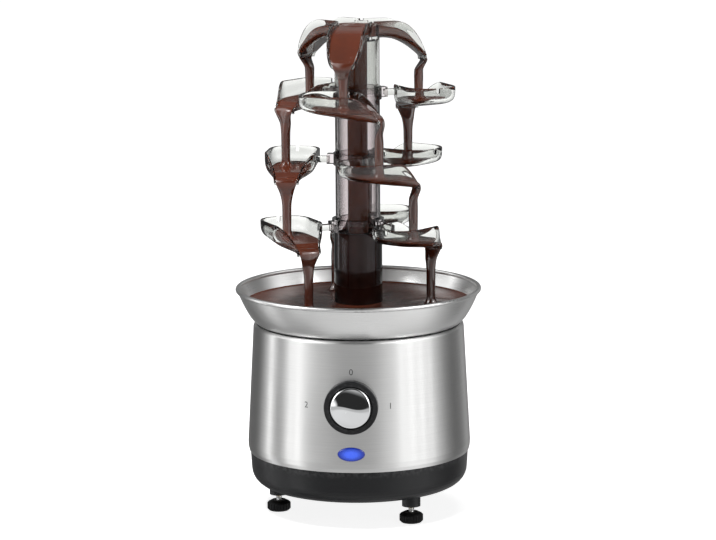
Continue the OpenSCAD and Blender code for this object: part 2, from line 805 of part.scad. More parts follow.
function cup_stations(inset) = let (t0 = inset - cup_back + 0.4)
  [for (i = [0:cup_sections]) cup_station(lerp(t0, cup_front, pow(i / cup_sections, 1.4)), inset)];

function chute_station(r, inset) =
  let (u = clamp01((r - tube_r) / (chute_reach - tube_r)))
  let (bend = clamp01((r - tube_r - 7) / (chute_reach - tube_r - 7)))
  let (under = chute_floor - chute_drop * u * u)
  [r, lerp(chute_half_w, chute_lip_half_w, pow(bend, 7)) - inset,
   lerp(crown_h, chute_floor - chute_drop + cup_wall + lip_sheet_t, pow(bend, 2.6)), under + inset];

function chute_stations(inset) = [for (i = [0:chute_sections])
  chute_station(lerp(chute_reach, chute_root, pow(1 - i / chute_sections, 1.4)), inset)];

function section(s) = [for (j = [0:section_sides]) let (a = 180 * j / section_sides)
  [-s[1] * bulge(cos(a)), s[0], s[2] - (s[2] - s[3]) * bulge(sin(a))]];

// A wall between an outer and an inner row of stations, with its first end closed or open
module trough(outer, inner, closed) {
  n = section_sides + 1;
  m = len(outer);
  far = m * n;
  last = (m - 1) * n;
  side = n - 1;
  outside = [for (i = [0:m - 2], j = [0:n - 2]) let (a = i * n + j)
    each [[a, a + n, a + 1], [a + 1, a + n, a + n + 1]]];
  inside = [for (f = outside) [far + f[0], far + f[2], far + f[1]]];
  rims = [for (i = [0:m - 2]) let (a = i * n, b = i * n + side) each [
    [a, far + a, a + n], [a + n, far + a, far + a + n], [b, b + n, far + b], [b + n, far + b + n, far + b]]];
  lip = [for (j = [0:n - 2]) let (a = last + j) each [[a, far + a, a + 1], [a + 1, far + a, far + a + 1]]];
  open_end = [for (j = [0:n - 2]) each [[j, j + 1, far + j], [j + 1, far + j + 1, far + j]]];
  closed_end = concat([for (j = [1:n - 2]) [0, j, j + 1]], [for (j = [1:n - 2]) [far, far + j + 1, far + j]],
    [[0, side, far], [side, far + side, far]]);
  polyhedron(points = concat([for (s = outer) each section(s)], [for (s = inner) each section(s)]),
    faces = [for (f = concat(outside, inside, rims, lip, closed ? closed_end : open_end)) reversed(f)]);
}

module cup(joint_z, angle) {
  color([0.86, 0.88, 0.88, 0.5]) translate([0, 0, joint_z]) at_angle(angle) union() {
    translate([cup_offset, 0, 0]) trough(cup_stations(0), cup_stations(cup_wall), true);
    translate([lug_reach - lug_pocket + fit, -arm_w / 2, -arm_top - arm_h])
      cube([cup_offset - cup_half_w + 0.8 * cup_wall - lug_reach + lug_pocket - fit, arm_w, arm_h]);
  }
}

module upper_cup(k) { cup(upper_joint_z, upper_angle + around[k]); }

module middle_cup(k) { cup(middle_joint_z, middle_angle + around[k]); }

module lower_cup(k) { cup(lower_joint_z, lower_angle + around[k]); }

module crown() {
  floor_top = chute_floor + cup_wall - chute_sill;
  color([0.86, 0.88, 0.88, 0.5]) translate([0, 0, upper_joint_z]) difference() {
    union() {
      rod(tube_r, 0, crown_h - 1);
      rod(spigot_r, -spigot_h, cut);
      for (k = around) at_angle(crown_angle + k) rotate([0, 0, -90])
        trough(chute_stations(0), chute_stations(cup_wall), false);
    }
    rod(tube_in_r, -spigot_h - cut, chute_floor - cup_wall);
    rod(tube_in_r, floor_top, crown_h + cut);
    rod(riser_r + fit, chute_floor - cup_wall - cut, floor_top + cut);
    for (k = around) at_angle(crown_angle + k)
      translate([0, cup_wall + 1 - chute_half_w, floor_top + 2 * chute_sill])
        cube([tube_r + cut, 2 * (chute_half_w - cup_wall - 1), chute_depth]);
  }
}

// Chocolate

// Surface height of the chocolate at a station of a cup and of a chute
function cup_surface(s) = max(s[3] + lip_sheet_t,
  min(s[2] - 1, -cup_level_drop - 0.05 * (s[0] + cup_back)));

function chute_surface(s) = max(s[3] + lip_sheet_t, s[2] - 4 - 0.15 * (s[0] - tube_in_r));

function run_ring(s, level) =
  let (sunk = clamp01((s[2] - level) / (s[2] - s[3])))
  let (half_w = s[1] * pow(1 - pow(sunk, squareness), 1 / squareness) - wet_gap)
  concat(
    [for (j = [0:run_sides]) let (x = -half_w * cos(180 * j / run_sides))
      [x, s[0], s[2] - (s[2] - s[3]) * pow(1 - pow(abs(x) / s[1], squareness), 1 / squareness) + wet_gap]],
    [for (j = [1:run_sides - 1]) let (a = 180 * j / run_sides)
      [half_w * cos(a), s[0], level + wet_gap + 0.5 * sin(a)]]);

// An oval ring of the sheet that bends over the lip, turned from level to hanging
function sheet_ring(half_w, thick, turn, y, z) = [for (j = [0:2 * run_sides - 1])
  let (a = 180 * j / run_sides, out = thick / 2 - thick / 2 * sin(a))
  [-half_w * cos(a), y + out * sin(turn), z + out * cos(turn)]];

// Chocolate in a trough from its first station over the lip, then falling to an end height
module run(stations, levels, end_z) {
  lip = stations[len(stations) - 1];
  lip_half_w = lip[1] - wet_gap;
  edge = 0.4;
  mid_y = lip[0] + edge + lip_sheet_t / 2;
  falls = [0.05, 0.13, 0.24, 0.38, 0.58, 0.86, 1];
  neck_share = 0.45;
  ring_solid(concat(
    [for (i = [0:len(stations) - 1]) run_ring(stations[i], levels[i])],
    [for (turn = [35, 65, 90]) sheet_ring(lip_half_w, lip_sheet_t, turn,
      lip[0] + edge * sin(turn), lip[3] + edge * cos(turn))],
    [for (u = falls)
      let (neck = 1 - pow(1 - clamp01(u / neck_share), 2))
      let (end_r = stream_r * (1 + 0.5 * smooth(clamp01((u - 0.86) / 0.14))))
      let (thick = lerp(lip_sheet_t, 2 * end_r, neck))
      sheet_ring(lerp(lip_half_w, end_r, neck), thick, 90, mid_y - thick / 2, lerp(lip[3], end_z, u))]));
}

module cup_run(joint_z, angle, end_z) {
  stations = [for (i = [1:cup_sections]) cup_stations(cup_wall)[i]];
  color([0.32, 0.17, 0.12]) for (k = around) translate([0, 0, joint_z]) at_angle(angle + k, cup_offset)
    run(stations, [for (s = stations) cup_surface(s)], end_z - joint_z);
}

// Height above its joint at which a stream meets the chocolate in a cup
landing = cup_surface(cup_station(0, cup_wall)) + 0.5 + 2 * wet_gap;

module chocolate_upper_run() { cup_run(upper_joint_z, upper_angle, middle_joint_z + landing); }

module chocolate_middle_run() { cup_run(middle_joint_z, middle_angle, lower_joint_z + landing); }

module chocolate_lower_run() { cup_run(lower_joint_z, lower_angle, pool_z + wet_gap); }

module chocolate_crown_run() {
  stations = [for (s = chute_stations(cup_wall)) if (s[0] > tube_in_r + 1) s];
  color([0.32, 0.17, 0.12]) translate([0, 0, upper_joint_z]) union() {
    for (k = around) at_angle(crown_angle + k) rotate([0, 0, -90])
      run(stations, [for (s = stations) chute_surface(s)], landing);
    rod(tube_in_r - wet_gap, chute_floor + cup_wall + wet_gap - chute_sill, crown_h - 3);
  }
}

module chocolate_pool() {
  color([0.3, 0.16, 0.12]) difference() {
    intersection() {
      rotate_extrude() polygon(concat([[0, floor_z + wet_gap]], bowl_inside(wet_gap), [[0, rim_z]]));
      rod(bowl_rim_r, floor_z, pool_z);
    }
    rod(lower_tube_d / 2 + wet_gap, floor_z - cut, pool_z + cut);
  }
}

module chocolate_column() {
  color([0.22, 0.12, 0.1])
    tube(lower_in_r - wet_gap, riser_r + wet_gap, floor_z + wet_gap, floor_z + column_h);
}

base_pan();
housing();
bowl();
bowl_gasket();
heater_plate();
heater_element();
thermostat();
thermal_fuse();
motor();
gearbox();
motor_bracket();
motor_posts();
bracket_screws();
drive_shaft();
shaft_bush();
shaft_seal();
drive_coupling();
auger();
knob_bezel();
knob();
knob_spindle();
rotary_switch();
switch_nut();
indicator_lens();
indicator_lamp();
cord_gland();
terminal_block();
base_screws();
foot_inserts();
foot_pad(0);  // foot_pad_1
foot_pad(1);  // foot_pad_2
foot_pad(2);  // foot_pad_3
foot_stud(0);  // foot_stud_1
foot_stud(1);  // foot_stud_2
foot_stud(2);  // foot_stud_3
lower_tube();
middle_tube();
upper_tube();
riser_tube();
crown();
upper_cup(0);  // upper_cup_1
upper_cup(1);  // upper_cup_2
upper_cup(2);  // upper_cup_3
middle_cup(0);  // middle_cup_1
middle_cup(1);  // middle_cup_2
middle_cup(2);  // middle_cup_3
lower_cup(0);  // lower_cup_1
lower_cup(1);  // lower_cup_2
lower_cup(2);  // lower_cup_3
chocolate_pool();
chocolate_column();
chocolate_crown_run();
chocolate_upper_run();
chocolate_middle_run();
chocolate_lower_run();
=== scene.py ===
"""Looks of a chocolate fountain with a clear cascade tower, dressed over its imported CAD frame.

Sizes are millimetres in the part's own frame (origin on the floor under the tower, front towards -Y),
and every mesh is written in metres. Angles of cups, chutes and feet are degrees from the front,
positive towards +X, which is the way the chocolate runs.
"""

import logging
import math
from dataclasses import dataclass
from enum import Enum
from functools import cache
from typing import Optional, Sequence, Union

import bmesh
import bpy
import numpy as np
from mathutils import Euler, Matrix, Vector


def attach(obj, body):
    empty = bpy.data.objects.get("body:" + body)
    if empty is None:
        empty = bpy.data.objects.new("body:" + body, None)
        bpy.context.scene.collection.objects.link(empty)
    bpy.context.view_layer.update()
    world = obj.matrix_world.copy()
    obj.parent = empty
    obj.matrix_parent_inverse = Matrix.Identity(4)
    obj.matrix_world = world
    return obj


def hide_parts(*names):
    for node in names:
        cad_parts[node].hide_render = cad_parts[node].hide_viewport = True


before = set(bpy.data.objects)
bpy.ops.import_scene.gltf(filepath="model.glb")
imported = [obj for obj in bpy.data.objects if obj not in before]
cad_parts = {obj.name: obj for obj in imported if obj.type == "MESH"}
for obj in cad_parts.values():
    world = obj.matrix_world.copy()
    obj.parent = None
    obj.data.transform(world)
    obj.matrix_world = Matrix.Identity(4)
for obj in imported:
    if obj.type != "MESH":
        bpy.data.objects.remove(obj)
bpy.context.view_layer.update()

MM = 0.001
AROUND = (0.0, 120.0, 240.0)  # turns of the three cups of a tier, and of the chutes and feet
X_TO_FRONT = 90.0  # degrees that a frame with X outwards is turned back by to face the front
Y_TO_FRONT = 180.0  # the same for a frame with Y outwards
HANGING = 90.0  # degrees by which a sheet is turned when it hangs straight down
SQUARENESS = 4.0  # power of the squared-off circle that a trough's section follows
WELD_GAP = 2e-6  # metres
SLIVER = 1e-7  # metres
LATHE_STEPS = 144
LATHE_SHARP = 40.0
BLOCK_STEPS = 3
BLOCK_ROUND = 0.5  # profile of a round edge
BLOCK_SHARP = 35.0
LOG = logging.getLogger("fountain")

Array = np.ndarray
Colour = tuple[float, float, float]
Pair = tuple[float, float]
Triple = tuple[float, float, float]
Rows = tuple[tuple[float, float, int], ...]  # first and last share of a radius, and number of rings
Material = bpy.types.Material
Node = bpy.types.Node
Object = bpy.types.Object
Socket = bpy.types.NodeSocket
Tree = bpy.types.NodeTree
Value = Union[float, Array, Socket]
Paint = Union[Colour, Socket]


class Body(str, Enum):
    """CAD bodies that the scene's pieces ride on."""

    BASE = "base"
    KNOB = "knob"
    FOOT_1 = "foot_1"
    FOOT_2 = "foot_2"
    FOOT_3 = "foot_3"


class Slot(str, Enum):
    """Material slots of the record, listed beside the scene's own pieces."""

    BLACK_PLASTIC = "black_plastic"
    CHROME = "chrome"
    BLUE_LENS = "blue_lens"
    CLEAR_PLASTIC = "clear_plastic"
    CHOCOLATE = "chocolate"


class Carving(Enum):
    """Ways of combining two solids."""

    UNION = "UNION"
    DIFFERENCE = "DIFFERENCE"


class LampPart(Enum):
    """What a lamp does: it lights surfaces, or it only glints in glossy ones."""

    LIGHT = "light"
    GLINT = "glint"


class Tier(Enum):
    """Tiers of cups: name in the CAD nodes, height of the tube joint and angle of the first cup."""

    UPPER = ("upper", 363.6, -4.0)
    MIDDLE = ("middle", 307.6, 27.0)
    LOWER = ("lower", 251.6, 58.0)

    def __init__(self, label: str, joint_z: float, angle: float) -> None:
        """Keeps what is known of the tier."""
        self.label, self.joint_z, self.angle = label, joint_z, angle


def lerp(a: Value, b: Value, u: Value) -> Value:
    """Returns the value a share u of the way from a to b."""
    return a + (b - a) * u


def share(value: Value, low: float, high: float) -> Array:
    """Returns how far a value is from low to high, held between 0 and 1."""
    return np.clip((np.asarray(value, float) - low) / (high - low), 0.0, 1.0)


def smooth(u: Array) -> Array:
    """Returns an eased copy of values between 0 and 1."""
    return u * u * (3.0 - 2.0 * u)


def steps(count: int) -> Array:
    """Returns even shares from 0 to 1."""
    return np.linspace(0.0, 1.0, count)


def angles(count: int) -> Array:
    """Returns even angles all the way round, in radians."""
    return np.linspace(0.0, 2.0 * np.pi, count, endpoint=False)


def spaced(rows: Rows) -> Array:
    """Returns shares of a radius, one for each ring."""
    return np.concatenate([np.linspace(*row) for row in rows])


def ring(radius: Value, a: Array, height: Value) -> Array:
    """Returns points round the tower axis, one at each angle."""
    return np.stack([radius * np.cos(a), radius * np.sin(a), np.broadcast_to(height, a.shape)], axis=1)


def from_front(radius: float, degrees: float, height: float = 0.0) -> Array:
    """Returns the point at a distance from the tower axis and an angle from the front."""
    turn = math.radians(degrees)
    return np.array([radius * math.sin(turn), -radius * math.cos(turn), height])


def turned(points: Array, degrees: float) -> Array:
    """Returns points turned about the tower axis, anticlockwise seen from above."""
    c, s = math.cos(math.radians(degrees)), math.sin(math.radians(degrees))
    return points @ np.array([[c, s, 0.0], [-s, c, 0.0], [0.0, 0.0, 1.0]])


class Draft:
    """Points and faces of one mesh while it is drawn up."""

    def __init__(self) -> None:
        """Starts with an empty mesh."""
        self.points: list[Array] = []
        self.faces: list[tuple[int, ...]] = []

    def add_points(self, points: Array) -> int:
        """Adds points and returns the index of the first."""
        self.points.append(points.reshape(-1, 3))
        return sum(len(rows) for rows in self.points[:-1])

    def add_grid(self, rings: Array, wrap: bool = False) -> int:
        """Adds closed rings of points with a quad in each cell between them.

        Args:
            rings: Points as rings, places round a ring, and x, y, z.
            wrap: Whether the last ring joins the first.

        Returns:
            Index of the first point.
        """
        m, n = rings.shape[:2]
        first = self.add_points(rings)
        for i in range(m if wrap else m - 1):
            low, high = first + i * n, first + (i + 1) % m * n
            for j in range(n):
                k = (j + 1) % n
                self.faces.append((low + j, low + k, high + k, high + j))
        return first

    def add_fan(self, edge: Sequence[int], tip: Array) -> None:
        """Closes a ring of point indices with triangles that meet at a tip."""
        apex = self.add_points(tip)
        self.faces += [(a, b, apex) for a, b in zip(edge, [*edge[1:], edge[0]])]

    def add_skin(self, rings: Array) -> None:
        """Adds a closed skin with a fan at each end.

        Args:
            rings: Points as rings, places round a ring, and x, y, z.
        """
        first, n = self.add_grid(rings), rings.shape[1]
        for end in (0, len(rings) - 1):
            self.add_fan(range(first + end * n, first + (end + 1) * n), rings[end].mean(axis=0))

    def finished(self, name: str, sharp: float) -> Object:
        """Makes the mesh object.

        Args:
            name: Name of the piece.
            sharp: Angle in degrees from which an edge is crisp.

        Returns:
            The new object, in the scene.
        """
        mesh = bpy.data.meshes.new(name)
        mesh.from_pydata((np.vstack(self.points) * MM).tolist(), [], self.faces)
        settle(mesh, sharp)
        return linked(name, mesh)


def linked(name: str, data: bpy.types.ID) -> Object:
    """Puts a new object in the scene.

    Args:
        name: Name of the object.
        data: Its mesh, curve, lamp or camera.

    Returns:
        The new object.
    """
    obj = bpy.data.objects.new(name, data)
    bpy.context.scene.collection.objects.link(obj)
    return obj


def settle(mesh: bpy.types.Mesh, sharp: float) -> None:
    """Welds a mesh, turns its faces outwards and sets smooth shading with crisp edges.

    Args:
        mesh: Mesh to change.
        sharp: Angle in degrees from which an edge is crisp.
    """
    work = bmesh.new()
    work.from_mesh(mesh)
    bmesh.ops.remove_doubles(work, verts=work.verts, dist=WELD_GAP)
    bmesh.ops.dissolve_degenerate(work, dist=SLIVER, edges=work.edges)
    bmesh.ops.recalc_face_normals(work, faces=work.faces)
    work.to_mesh(mesh)
    work.free()
    mesh.shade_smooth()
    mesh.set_sharp_from_angle(angle=math.radians(sharp))


def as_mesh(obj: Object) -> bpy.types.Mesh:
    """Returns a new mesh of an object as it shows, modifiers and all."""
    bpy.context.view_layer.update()
    return bpy.data.meshes.new_from_object(obj.evaluated_get(bpy.context.evaluated_depsgraph_get()))


def carved(target: Object, tools: Sequence[Object], way: Carving, sharp: float) -> None:
    """Combines solids with a target and removes them.

    Args:
        target: Object that keeps the result.
        tools: Objects that are joined to it or cut from it.
        way: How they combine.
        sharp: Angle in degrees from which an edge is crisp.
    """
    for tool in tools:
        step = target.modifiers.new("carving", "BOOLEAN")
        step.operation = way.value
        step.solver = "EXACT"
        step.object = tool
    old, result = target.data, as_mesh(target)
    target.modifiers.clear()
    target.data = result
    result.name = old.name
    bpy.data.meshes.remove(old)
    for tool in tools:
        bpy.data.objects.remove(tool)
    settle(result, sharp)


def skinned(name: str, sharp: float, *shells: Array) -> Object:
    """Makes a piece of one or more closed skins.

    Args:
        name: Name of the piece.
        sharp: Angle in degrees from which an edge is crisp.
        *shells: Rings of points of each skin.

    Returns:
        The new object.
    """
    draft = Draft()
    for rings in shells:
        draft.add_skin(rings)
    return draft.finished(name, sharp)


def looped(name: str, sharp: float, rings: Sequence[Array]) -> Object:
    """Makes a piece of rings of points whose last joins the first.

    Args:
        name: Name of the piece.
        sharp: Angle in degrees from which an edge is crisp.
        rings: Points round each ring.

    Returns:
        The new object.
    """
    draft = Draft()
    draft.add_grid(np.array(rings), wrap=True)
    return draft.finished(name, sharp)


def lathe(name: str, profile: Sequence[Pair]) -> Object:
    """Makes a piece of a closed profile, radius and height at each corner, turned about the tower axis."""
    a = angles(LATHE_STEPS)
    return looped(name, LATHE_SHARP, [ring(r, a, z) for r, z in profile])


def rounded_block(name: str, low: Triple, high: Triple, edge: float) -> Object:
    """Makes a block with rounded edges.

    Args:
        name: Name of the piece.
        low: Lowest corner.
        high: Highest corner.
        edge: Radius of the edges.

    Returns:
        The new object.
    """
    mesh = bpy.data.meshes.new(name)
    work = bmesh.new()
    bmesh.ops.create_cube(work, size=1.0)
    for v in work.verts:
        v.co = Vector([lerp(a, b, c + 0.5) * MM for a, b, c in zip(low, high, v.co)])
    bmesh.ops.bevel(work, geom=work.edges, offset=edge * MM, segments=BLOCK_STEPS, profile=BLOCK_ROUND,
                    affect="EDGES")
    work.to_mesh(mesh)
    work.free()
    settle(mesh, BLOCK_SHARP)
    return linked(name, mesh)


class Graph:
    """A short way to write a node tree."""

    def __init__(self, tree: Tree) -> None:
        """Keeps the tree to write in."""
        self.tree = tree

    def fill(self, node: Node, inputs: dict) -> None:
        """Links or sets inputs of a node.

        Args:
            node: Node to fill in.
            inputs: Socket name or number to a value, a colour or the socket that feeds it.
        """
        for key, value in inputs.items():
            if isinstance(value, Socket):
                self.tree.links.new(value, node.inputs[key])
            else:
                node.inputs[key].default_value = (*value, 1.0) if isinstance(value, tuple) else value

    def add(self, kind: str, inputs: Optional[dict] = None, **settings: object) -> Node:
        """Adds a shader node.

        Args:
            kind: Last part of Blender's name for the node type.
            inputs: What goes into its sockets.
            **settings: Properties of the node.

        Returns:
            The new node.
        """
        node = self.tree.nodes.new(f"ShaderNode{kind}")
        for key, setting in settings.items():
            setattr(node, key, setting)
        self.fill(node, inputs or {})
        return node

    def math(self, operation: str, *values: Value) -> Socket:
        """Adds a Math node and returns its result."""
        return self.add("Math", dict(enumerate(values)), operation=operation).outputs[0]

    def hypot(self, x: Value, y: Value) -> Socket:
        """Adds nodes for the long side of a right angle and returns it."""
        return self.math("SQRT", self.math("ADD", self.math("POWER", x, 2.0), self.math("POWER", y, 2.0)))

    def ranged(self, value: Value, low: Value, high: Value, *ends: Value) -> Socket:
        """Adds a clamped Map Range node, to 0 and 1 or to other ends, and returns its result."""
        return self.add("MapRange", dict(enumerate((value, low, high, *ends)))).outputs[0]

    def blend(self, factor: Value, first: Paint, second: Paint, way: str = "MIX") -> Socket:
        """Adds a colour Mix node and returns its result."""
        inputs = {0: factor, 6: first, 7: second}  # the node's sockets for colours
        return self.add("Mix", inputs, data_type="RGBA", blend_type=way).outputs[2]

    def spot(self) -> Socket:
        """Adds object coordinates and returns them."""
        return self.add("TexCoord").outputs["Object"]

    def axes(self, vector: Socket) -> bpy.types.NodeOutputs:
        """Splits a vector and returns its three parts."""
        return self.add("SeparateXYZ", {0: vector}).outputs

    def noise(self, place: Socket, scale: Value, detail: float, **more: float) -> Socket:
        """Adds a noise over places and returns its level."""
        inputs = {"Vector": place, "Scale": scale, "Detail": detail, **more}
        return self.add("TexNoise", inputs).outputs[0]


class Effect(Graph):
    """A shader node group with number sockets, for what more than one finish uses."""

    def __init__(self, name: str, inputs: Sequence[str], outputs: Sequence[str]) -> None:
        """Starts the group.

        Args:
            name: Name of the group.
            inputs: Names of its inputs.
            outputs: Names of its outputs.
        """
        super().__init__(bpy.data.node_groups.new(name, "ShaderNodeTree"))
        for way, keys in (("INPUT", inputs), ("OUTPUT", outputs)):
            for key in keys:
                self.tree.interface.new_socket(name=key, in_out=way, socket_type="NodeSocketFloat")
        self.given = self.tree.nodes.new("NodeGroupInput").outputs
        self.result = self.tree.nodes.new("NodeGroupOutput")

    def finished(self, **outputs: Socket) -> Tree:
        """Feeds the outputs and returns the group."""
        self.fill(self.result, outputs)
        return self.tree


@cache
def turned_grain() -> Tree:
    """Returns the group of fine lines left by brushing or turning about the tower axis."""
    effect = Effect("Turned Grain", ["Lines", "Drift"], ["Tone", "Height"])
    least_r, detail, roughness, tones = 1e-4, 5.0, 0.62, (0.3, 0.7)
    x, y, z = effect.axes(effect.spot())
    radius = effect.hypot(x, y)
    across = effect.math("MULTIPLY", effect.math("ADD", z, radius), effect.given["Lines"])
    spin = effect.math("DIVIDE", effect.given["Drift"], effect.math("MAXIMUM", radius, least_r))
    round_x, round_y = (effect.math("MULTIPLY", side, spin) for side in (x, y))
    lines = effect.add("CombineXYZ", {0: round_x, 1: round_y, 2: across}).outputs[0]
    fine = effect.noise(lines, 1.0, detail, Roughness=roughness)
    return effect.finished(Tone=effect.ranged(fine, *tones), Height=fine)


@cache
def mottle() -> Tree:
    """Returns the group of soft cloudy variation, as smears and handling leave it."""
    effect = Effect("Mottle", ["Scale", "Low", "High"], ["Level", "Mask"])
    detail, distortion, levels = 4.0, 0.4, (0.32, 0.68)
    cloud = effect.noise(effect.spot(), effect.given["Scale"], detail, Distortion=distortion)
    mask = effect.ranged(cloud, *levels)
    level = effect.ranged(mask, 0.0, 1.0, effect.given["Low"], effect.given["High"])
    return effect.finished(Level=level, Mask=mask)


@cache
def pebble() -> Tree:
    """Returns the group of the fine pitted texture of moulded plastic and rubber."""
    effect = Effect("Pebble", ["Scale"], ["Height", "Tone"])
    grit_scale, grit_detail, grit_share, tones = 2.3, 3.0, 0.6, (0.3, 1.1)
    place, scale = effect.spot(), effect.given["Scale"]
    cells = effect.add("TexVoronoi", {"Vector": place, "Scale": scale}, feature="SMOOTH_F1")
    grit = effect.noise(place, effect.math("MULTIPLY", scale, grit_scale), grit_detail)
    height = effect.math("ADD", cells.outputs["Distance"], effect.math("MULTIPLY", grit, grit_share))
    return effect.finished(Height=height, Tone=effect.ranged(height, *tones))


@cache
def worn_edge() -> Tree:
    """Returns the group that marks convex edges, broken up as rubbing leaves them."""
    effect = Effect("Worn Edge", ["Start", "Breakup"], ["Mask"])
    start, width, detail, levels = effect.given["Start"], 0.06, 5.0, (0.4, 0.62)
    edge = effect.add("NewGeometry").outputs["Pointiness"]
    chips = effect.ranged(effect.noise(effect.spot(), effect.given["Breakup"], detail), *levels)
    mask = effect.ranged(edge, start, effect.math("ADD", start, width))
    return effect.finished(Mask=effect.math("MULTIPLY", mask, chips))


class Surface(Graph):
    """The node tree of one material, with its Principled shader."""

    def __init__(self, name: str) -> None:
        """Starts a material.

        Args:
            name: Name of the finish.
        """
        self.material = bpy.data.materials.new(name)
        self.material.use_nodes = True
        super().__init__(self.material.node_tree)
        kinds = {node.type: node for node in self.tree.nodes}
        self.shader, self.sink = kinds["BSDF_PRINCIPLED"], kinds["OUTPUT_MATERIAL"]

    def use(self, effect: Tree, *values: Value) -> bpy.types.NodeOutputs:
        """Adds an effect with values for its inputs in their order and returns its outputs."""
        return self.add("Group", dict(enumerate(values)), node_tree=effect).outputs

    def bump(self, height: Socket, strength: float, depth: float) -> Socket:
        """Adds a Bump node and returns its normal."""
        return self.add("Bump", {"Height": height, "Strength": strength, "Distance": depth}).outputs[0]

    def finished(self, inputs: dict) -> Material:
        """Fills in the shader and returns the material."""
        self.fill(self.shader, inputs)
        return self.material


@dataclass(frozen=True)
class BrushedMetal:
    """Sheet or turned metal with lines round the tower axis."""

    name: str
    colour: Colour
    roughness: float
    spread: float
    relief: float = 0.05
    contrast: float = 0.1
    grain: Pair = (2600.0, 2.2)  # lines, drift
    play: float = 0.03
    smear: Triple = (14.0, -0.03, 0.04)  # scale, low, high
    depth: float = 0.0002
    lie: float = 0.25

    def material(self) -> Material:
        """Returns the metal's material."""
        surface = Surface(self.name)
        grain = surface.use(turned_grain(), *self.grain)
        smear = surface.use(mottle(), *self.smear)
        dark = tuple(c * (1.0 - self.contrast) for c in self.colour)
        ends = self.roughness + self.play, self.roughness - self.play
        rough = surface.ranged(grain["Tone"], 0.0, 1.0, *ends)
        return surface.finished({
            "Base Color": surface.blend(grain["Tone"], dark, self.colour),
            "Roughness": surface.math("ADD", rough, smear["Level"]),
            "Metallic": 1.0,
            "Anisotropic": self.spread,
            "Anisotropic Rotation": self.lie,
            "Tangent": surface.add("Tangent", direction_type="RADIAL", axis="Z").outputs[0],
            "Normal": surface.bump(grain["Height"], self.relief, self.depth),
        })


@dataclass(frozen=True)
class PlainMetal:
    """Plated, cast or turned metal without a brushed direction."""

    name: str
    colour: Colour
    roughness: float
    tarnish: Colour = (0.35, 0.34, 0.33)
    cloud: float = 60.0
    bright_share: float = 0.85
    dull_share: float = 1.25
    dull_rise: float = 0.01
    stain: float = 0.16
    polish: float = 1.18
    wear: Pair = (0.52, 260.0)  # start, breakup

    def material(self) -> Material:
        """Returns the metal's material."""
        surface = Surface(self.name)
        dull = self.roughness * self.dull_share + self.dull_rise
        cloud = surface.use(mottle(), self.cloud, self.roughness * self.bright_share, dull)
        worn = surface.use(worn_edge(), *self.wear)
        stain = surface.math("MULTIPLY", cloud["Mask"], self.stain)
        stained = surface.blend(stain, self.colour, self.tarnish)
        polished = tuple(min(1.0, c * self.polish) for c in self.colour)
        return surface.finished({
            "Base Color": surface.blend(worn["Mask"], stained, polished),
            "Roughness": cloud["Level"],
            "Metallic": 1.0,
        })


@dataclass(frozen=True)
class MouldedPlastic:
    """Moulded plastic or rubber with a pitted skin."""

    name: str
    colour: Colour
    roughness: float
    pits: float = 1800.0
    relief: float = 0.12
    rubbed: Colour = (0.12, 0.12, 0.125)
    specular: float = 0.5
    handled: Triple = (22.0, -0.04, 0.07)  # scale, then low and high beside the roughness
    wear: Pair = (0.53, 320.0)  # start, breakup
    lighter: Pair = (1.35, 0.004)  # share and rise of the skin's light places
    mix: float = 0.5
    depth: float = 0.0003

    def material(self) -> Material:
        """Returns the plastic's material."""
        surface = Surface(self.name)
        scale, low, high = self.handled
        skin = surface.use(pebble(), self.pits)
        handled = surface.use(mottle(), scale, self.roughness + low, self.roughness + high)
        worn = surface.use(worn_edge(), *self.wear)
        lighter = tuple(c * self.lighter[0] + self.lighter[1] for c in self.colour)
        body = surface.blend(surface.math("MULTIPLY", skin["Tone"], self.mix), self.colour, lighter)
        return surface.finished({
            "Base Color": surface.blend(surface.math("MULTIPLY", worn["Mask"], self.mix), body, self.rubbed),
            "Roughness": handled["Level"],
            "Specular IOR Level": self.specular,
            "Normal": surface.bump(skin["Height"], self.relief, self.depth),
        })


@dataclass(frozen=True)
class ClearPlastic:
    """Clear moulded plastic, with painted shade that darkens it where it is seen edge on."""

    name: str
    colour: Colour = (0.67, 0.68, 0.66)
    # edge is the colour of the painted shade where the plastic is seen edge on; rim says how far it faces
    # away where that shade starts and ends
    edge: Colour = (0.04, 0.042, 0.042)
    glint: Colour = (0.6, 0.6, 0.62)
    rim: Pair = (0.35, 0.9)  # how far it faces away where darkening starts and ends
    index: float = 1.42
    film: Triple = (40.0, 0.004, 0.03)  # scale, low, high

    def material(self) -> Material:
        """Returns the clear plastic's material."""
        surface = Surface(self.name)
        facing = surface.add("LayerWeight").outputs["Facing"]
        return surface.finished({
            # Painted shade: the base colour darkens towards the edge colour where the surface is seen edge
            # on.
            "Base Color": surface.blend(surface.ranged(facing, *self.rim), self.colour, self.edge),
            "Roughness": surface.use(mottle(), *self.film)["Level"],
            "IOR": self.index,
            "Specular Tint": self.glint,
            "Transmission Weight": 1.0,
        })


@dataclass(frozen=True)
class MoltenChocolate:
    """Warm liquid chocolate with a wet gloss."""

    name: str
    colour: Colour = (0.126, 0.029, 0.013)
    deep: Colour = (0.065, 0.017, 0.009)
    roughness: float = 0.15
    specular: float = 0.85
    coat: float = 0.0
    coat_roughness: float = 0.05
    index: float = 1.46
    swirl: Triple = (38.0, -0.03, 0.05)  # scale, then low and high beside the roughness
    mix: float = 0.55
    waves: Pair = (70.0, 1.0)  # scale, detail
    relief: float = 0.08
    depth: float = 0.002

    def material(self) -> Material:
        """Returns the chocolate's material."""
        surface = Surface(self.name)
        scale, low, high = self.swirl
        swirl = surface.use(mottle(), scale, self.roughness + low, self.roughness + high)
        deeper = surface.math("MULTIPLY", swirl["Mask"], self.mix)
        waves = surface.noise(surface.spot(), *self.waves)
        return surface.finished({
            "Base Color": surface.blend(deeper, self.colour, self.deep),
            "Roughness": swirl["Level"],
            "Specular IOR Level": self.specular,
            "Coat Weight": self.coat,
            "Coat Roughness": self.coat_roughness,
            "IOR": self.index,
            "Normal": surface.bump(waves, self.relief, self.depth),
        })


